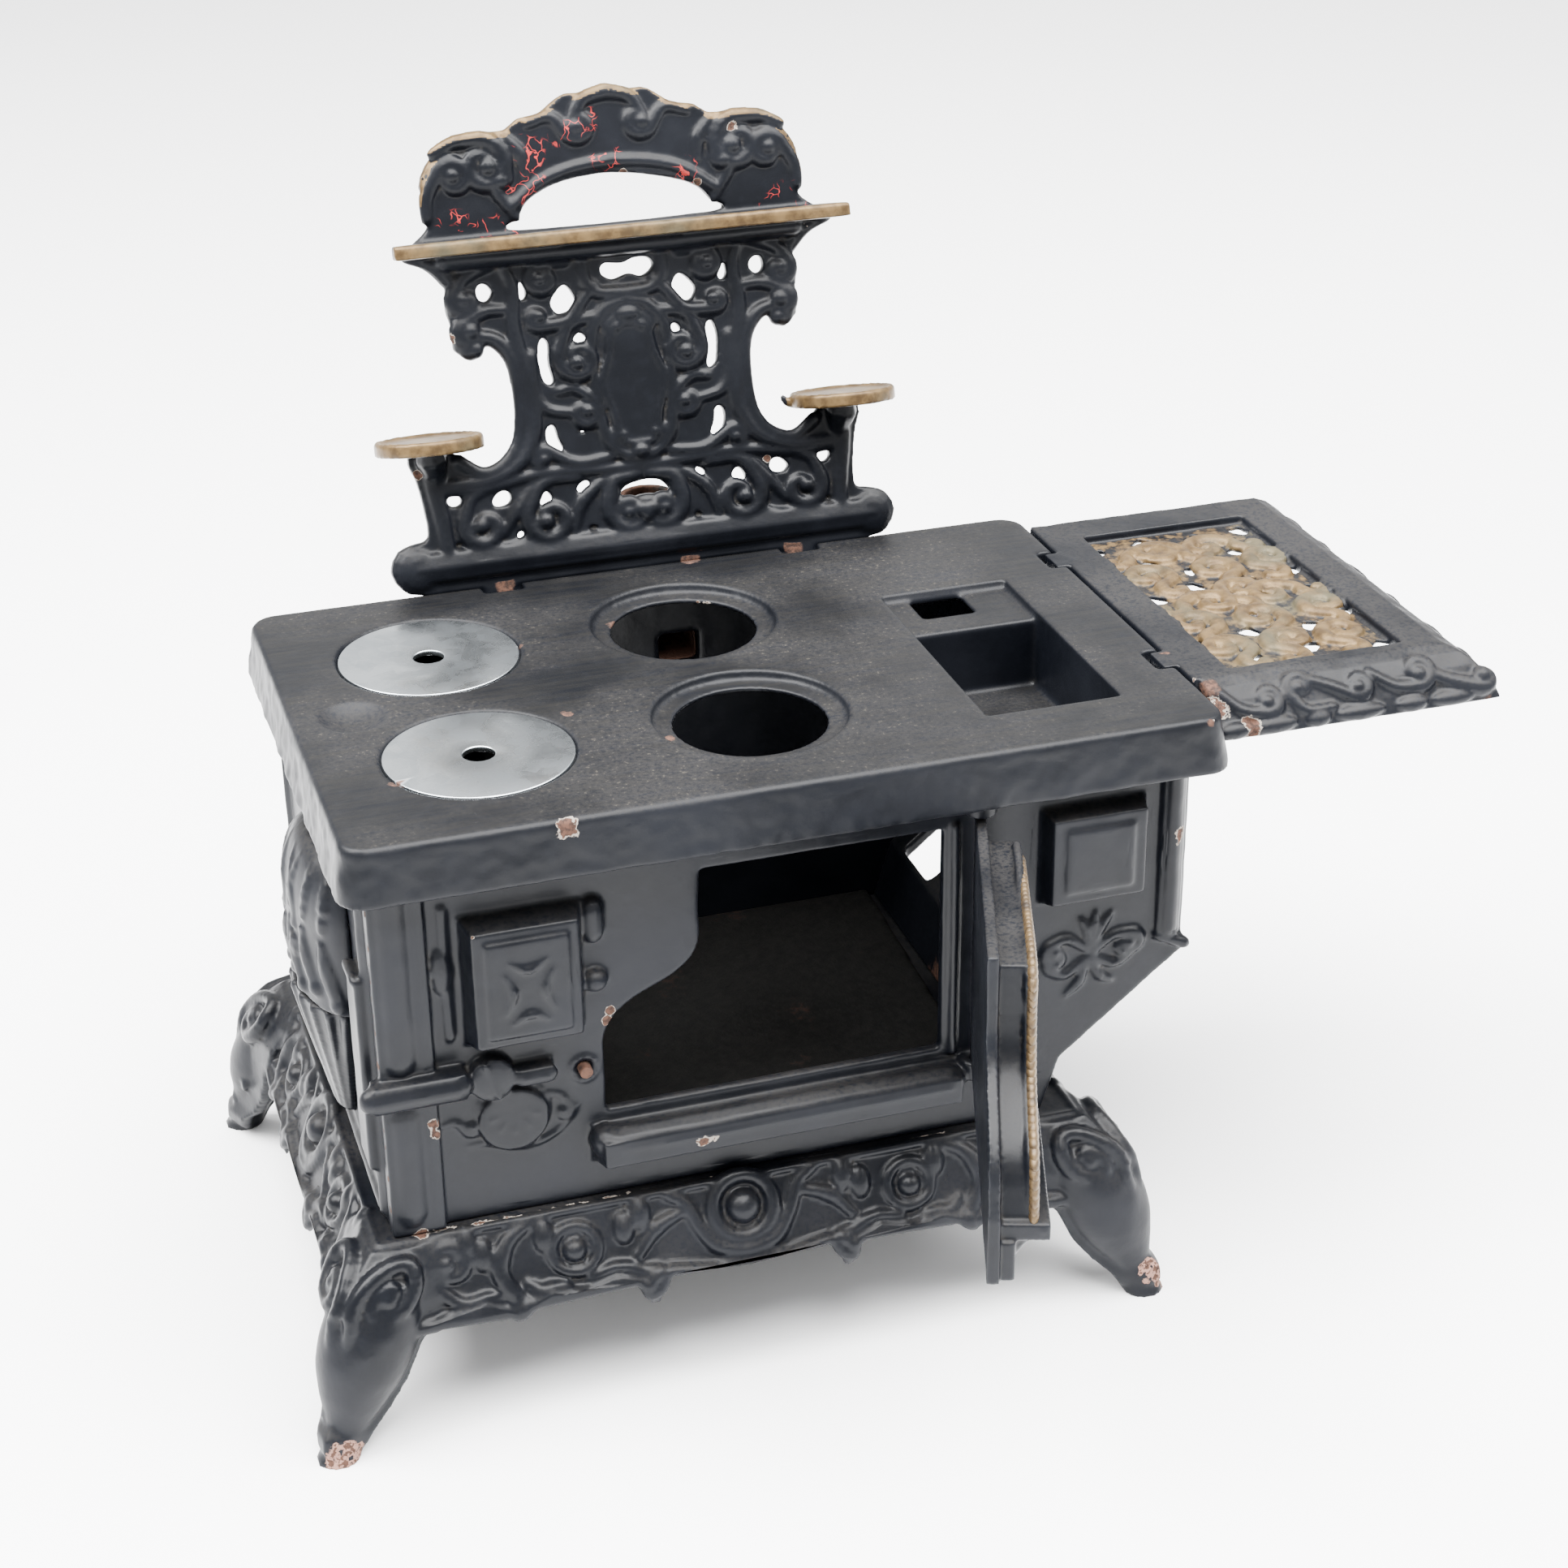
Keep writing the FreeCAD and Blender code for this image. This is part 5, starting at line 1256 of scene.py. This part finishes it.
class RANGE_OT_side_shelf(bpy.types.Operator):
    """The side shelf with its gilded openwork and scrolled skirt"""
    bl_idname = "toyrange.side_shelf"
    bl_label = "Side shelf"

    def execute(self, context):
        heap = Heap()
        left, right, front, back = 120.5, 197.0, -52.0, 67.0
        top = -0.3
        heap.slab(TOP, [box(left, front, right, back), box(133, -48, 186.5, 54)], top - 4.0, top)
        holes = []
        for number, (x, y) in enumerate(SHELF_HOLES):
            spin = number * 1.3
            holes.append([(x + (3.1 + 0.8 * math.sin(2 * a + spin)) * math.cos(a),
                           y + (3.1 + 0.7 * math.cos(3 * a + spin)) * math.sin(a))
                          for a in np.linspace(0, 2 * math.pi, 13)[:-1]])
        heap.slab(TOP, [box(131, -50, 188, 56)] + holes, top - 4.0, top - 2.6)
        level = top - 2.0
        for start, end, radius, hand in SHELF_SCROLLS:
            bend = ((start[0] + end[0]) / 2 + hand * 2.4, (start[1] + end[1]) / 2)
            stem = [(*spot, level) for spot in (start, bend, end)]
            heap.tube(TOP, curl(smooth_path(stem), radius * 1.1, 1.05, hand), (1.9, 2.8, 2.3, 1.8), 0.7)
            heap.tube(TOP, curl(smooth_path(stem[::-1]), radius * 0.8, 0.7, hand), (1.8, 2.5, 1.8), 0.7)
        heap.add(*loft([[(x + out * east, y - out * south, PLATE_TOP + top + rise) for out, rise in SKIRT]
                        for x, y, east, south in ((left + 2.2, front, 0, 1), (right, front, 1, 1),
                                                  (right, back, 1, 0))]))
        slope = Plane((0, front - 6.4, PLATE_TOP + top - 3.9), (1, 0, 0), (0, 0.68, 0.73))
        strands(heap, slope, SKIRT_SCROLLS)
        for x, half in ((128, 5), (140, 7), (153, 4), (166, 8), (182, 5), (195, 7)):
            heap.ball(slope, (x, -9.4, -0.4), (half, 2.4, 1.8))
        for y, half in ((-48, 8), (-30, 10), (-6, 7), (16, 11), (38, 8), (58, 9)):
            heap.ball(None, (right + 9.2, y, PLATE_TOP + top - 8.6), (2.4, half, 3.0))
        for y in (-36.6, 39.9):
            heap.slab(TOP, [box(left - 4, y - 5.2, left + 3, y + 5.2)], top - 3.4, top)
        cast(heap, "side_shelf", body="side_shelf", voxel=0.55, rounds=3, lumps=0.22, gilt=shelf_gilt)
        return {"FINISHED"}


# ------------------------------------------------------------------ oven door

DOOR_OPEN = math.radians(71.0)
HINGE = (50.5, -72.0)
DOOR = Plane((HINGE[0], HINGE[1], 0), (math.cos(DOOR_OPEN), math.sin(DOOR_OPEN), 0), (0, 0, 1))
DOOR_EDGE = [(-6, 98), (-6, 149), (-40, 150), (-69, 149.5), (-70.6, 138), (-76, 123.5), (-86, 116.5),
             (-94, 112),
             (-97.6, 105), (-99, 98)]


def rope(name, path, thick, material):
    """A twisted rope bead along a path, set out by geometry nodes and turned into a plain mesh."""
    tree = bpy.data.node_groups.new(name + "_layout", "GeometryNodeTree")
    face = tree.interface
    face.new_socket("Geometry", in_out="INPUT", socket_type="NodeSocketGeometry")
    values = {"Step": thick * 0.95 * MM, "Size": thick * MM, "Twist": 0.75}
    identifiers = {}
    for label, value in values.items():
        socket = face.new_socket(label, in_out="INPUT", socket_type="NodeSocketFloat")
        socket.default_value = value
        identifiers[label] = socket.identifier
    face.new_socket("Geometry", in_out="OUTPUT", socket_type="NodeSocketGeometry")

    def add(kind, **settings):
        made = tree.nodes.new(kind)
        for key, value in settings.items():
            setattr(made, key, value)
        return made
    enter, leave = add("NodeGroupInput"), add("NodeGroupOutput")
    to_curve = add("GeometryNodeMeshToCurve")
    points = add("GeometryNodeCurveToPoints", mode="LENGTH")
    bead = add("GeometryNodeMeshUVSphere")
    bead.inputs["Segments"].default_value = 12
    bead.inputs["Rings"].default_value = 8
    place = add("GeometryNodeInstanceOnPoints")
    scale = add("ShaderNodeCombineXYZ")
    turn = add("ShaderNodeCombineXYZ")
    spin = add("GeometryNodeRotateInstances")
    real = add("GeometryNodeRealizeInstances")
    paint = add("GeometryNodeSetMaterial")
    paint.inputs["Material"].default_value = material
    shape = add("ShaderNodeVectorMath", operation="MULTIPLY")
    shape.inputs[1].default_value = (0.62, 1.0, 1.5)
    for source, out, target, socket in (
            (enter, "Geometry", to_curve, "Mesh"), (to_curve, "Curve", points, "Curve"),
            (enter, "Step", points, "Length"), (points, "Points", place, "Points"),
            (points, "Rotation", place, "Rotation"), (bead, "Mesh", place, "Instance"),
            (enter, "Size", scale, "X"), (enter, "Size", scale, "Y"), (enter, "Size", scale, "Z"),
            (scale, "Vector", shape, 0), (shape, "Vector", place, "Scale"), (enter, "Twist", turn, "X"),
            (place, "Instances", spin, "Instances"), (turn, "Vector", spin, "Rotation"),
            (spin, "Instances", real, "Geometry"), (real, "Geometry", paint, "Geometry"),
            (paint, "Geometry", leave, "Geometry")):
        tree.links.new(source.outputs[out], target.inputs[socket])

    raw = raw_object(name, [Vector(p) * MM + MIDDLE for p in path],
                     [(k, k + 1) for k in range(len(path) - 1)], [])
    lay = raw.modifiers.new("layout", "NODES")
    lay.node_group = tree
    for label, value in values.items():
        lay[identifiers[label]] = value
    mesh = bpy.data.meshes.new_from_object(evaluated(raw))
    bpy.data.objects.remove(raw)
    mesh.name = name
    mesh.polygons.foreach_set("use_smooth", [True] * len(mesh.polygons))
    return mesh


class RANGE_OT_door(bpy.types.Operator):
    """The oven door with its rope rim, ledge and bracket"""
    bl_idname = "toyrange.door"
    bl_label = "Oven door"

    def execute(self, context):
        heap = Heap().node("oven_door")
        edge = smooth_path([(x, z, 9.0) for x, z in DOOR_EDGE], 5)
        heap.tube(DOOR, edge, 1.3)
        heap.tube(DOOR, [(-101, 95, 12.2), (-6.5, 95, 12.2)], 1.9)
        heap.tube(DOOR, smooth_path([(-97, 93, 7.0), (-98.4, 88.4, 4.5), (-99.2, 83.4, 2.4)]),
                  (4.2, 2.8, 1.6))
        heap.tube(DOOR, smooth_path([(-98, 92, 7.5), (-70, 91, 6), (-20, 92, 6)]), (3.0, 2.4, 2.0))
        cast(heap, "oven_door", body="oven_door", voxel=0.55, rounds=6, most=120000)
        rim = DOOR.out(smooth_path([(x, z, 9.9) for x, z in [(-15, 149.4)] + DOOR_EDGE[2:]], 8))
        gilt = MATERIALS["gilt"]
        link("door_rope", rope("door_rope", rim, 2.3, gilt), "oven_door", None, gilt)
        return {"FINISHED"}


class RANGE_PT_panel(bpy.types.Panel):
    """The steps and settings of the toy range"""
    bl_label = "Toy Range"
    bl_space_type = "VIEW_3D"
    bl_region_type = "UI"
    bl_category = "Toy Range"

    def draw(self, context):
        for step in STEPS:
            self.layout.operator(step.bl_idname)
        for group in (context.scene.range_sizes, context.scene.range_colours):
            for key in group.bl_rna.properties.keys():
                if key not in ("rna_type", "name"):
                    self.layout.prop(group, key)


STEPS = (RANGE_OT_stage, RANGE_OT_finishes, RANGE_OT_base, RANGE_OT_plate, RANGE_OT_lids, RANGE_OT_front,
         RANGE_OT_fire_end, RANGE_OT_other_castings, RANGE_OT_high_back, RANGE_OT_side_shelf, RANGE_OT_door)
CLASSES = (RangeColours, RangeSizes) + STEPS + (RANGE_PT_panel,)


def register():
    for item in CLASSES:
        bpy.utils.register_class(item)
    bpy.types.Scene.range_sizes = PointerProperty(type=RangeSizes)
    bpy.types.Scene.range_colours = PointerProperty(type=RangeColours)


def unregister():
    del bpy.types.Scene.range_colours
    del bpy.types.Scene.range_sizes
    for item in reversed(CLASSES):
        bpy.utils.unregister_class(item)


def main():
    register()
    for step in STEPS:
        family, name = step.bl_idname.split(".")
        getattr(getattr(bpy.ops, family), name)()


if __name__ == "__main__":
    main()
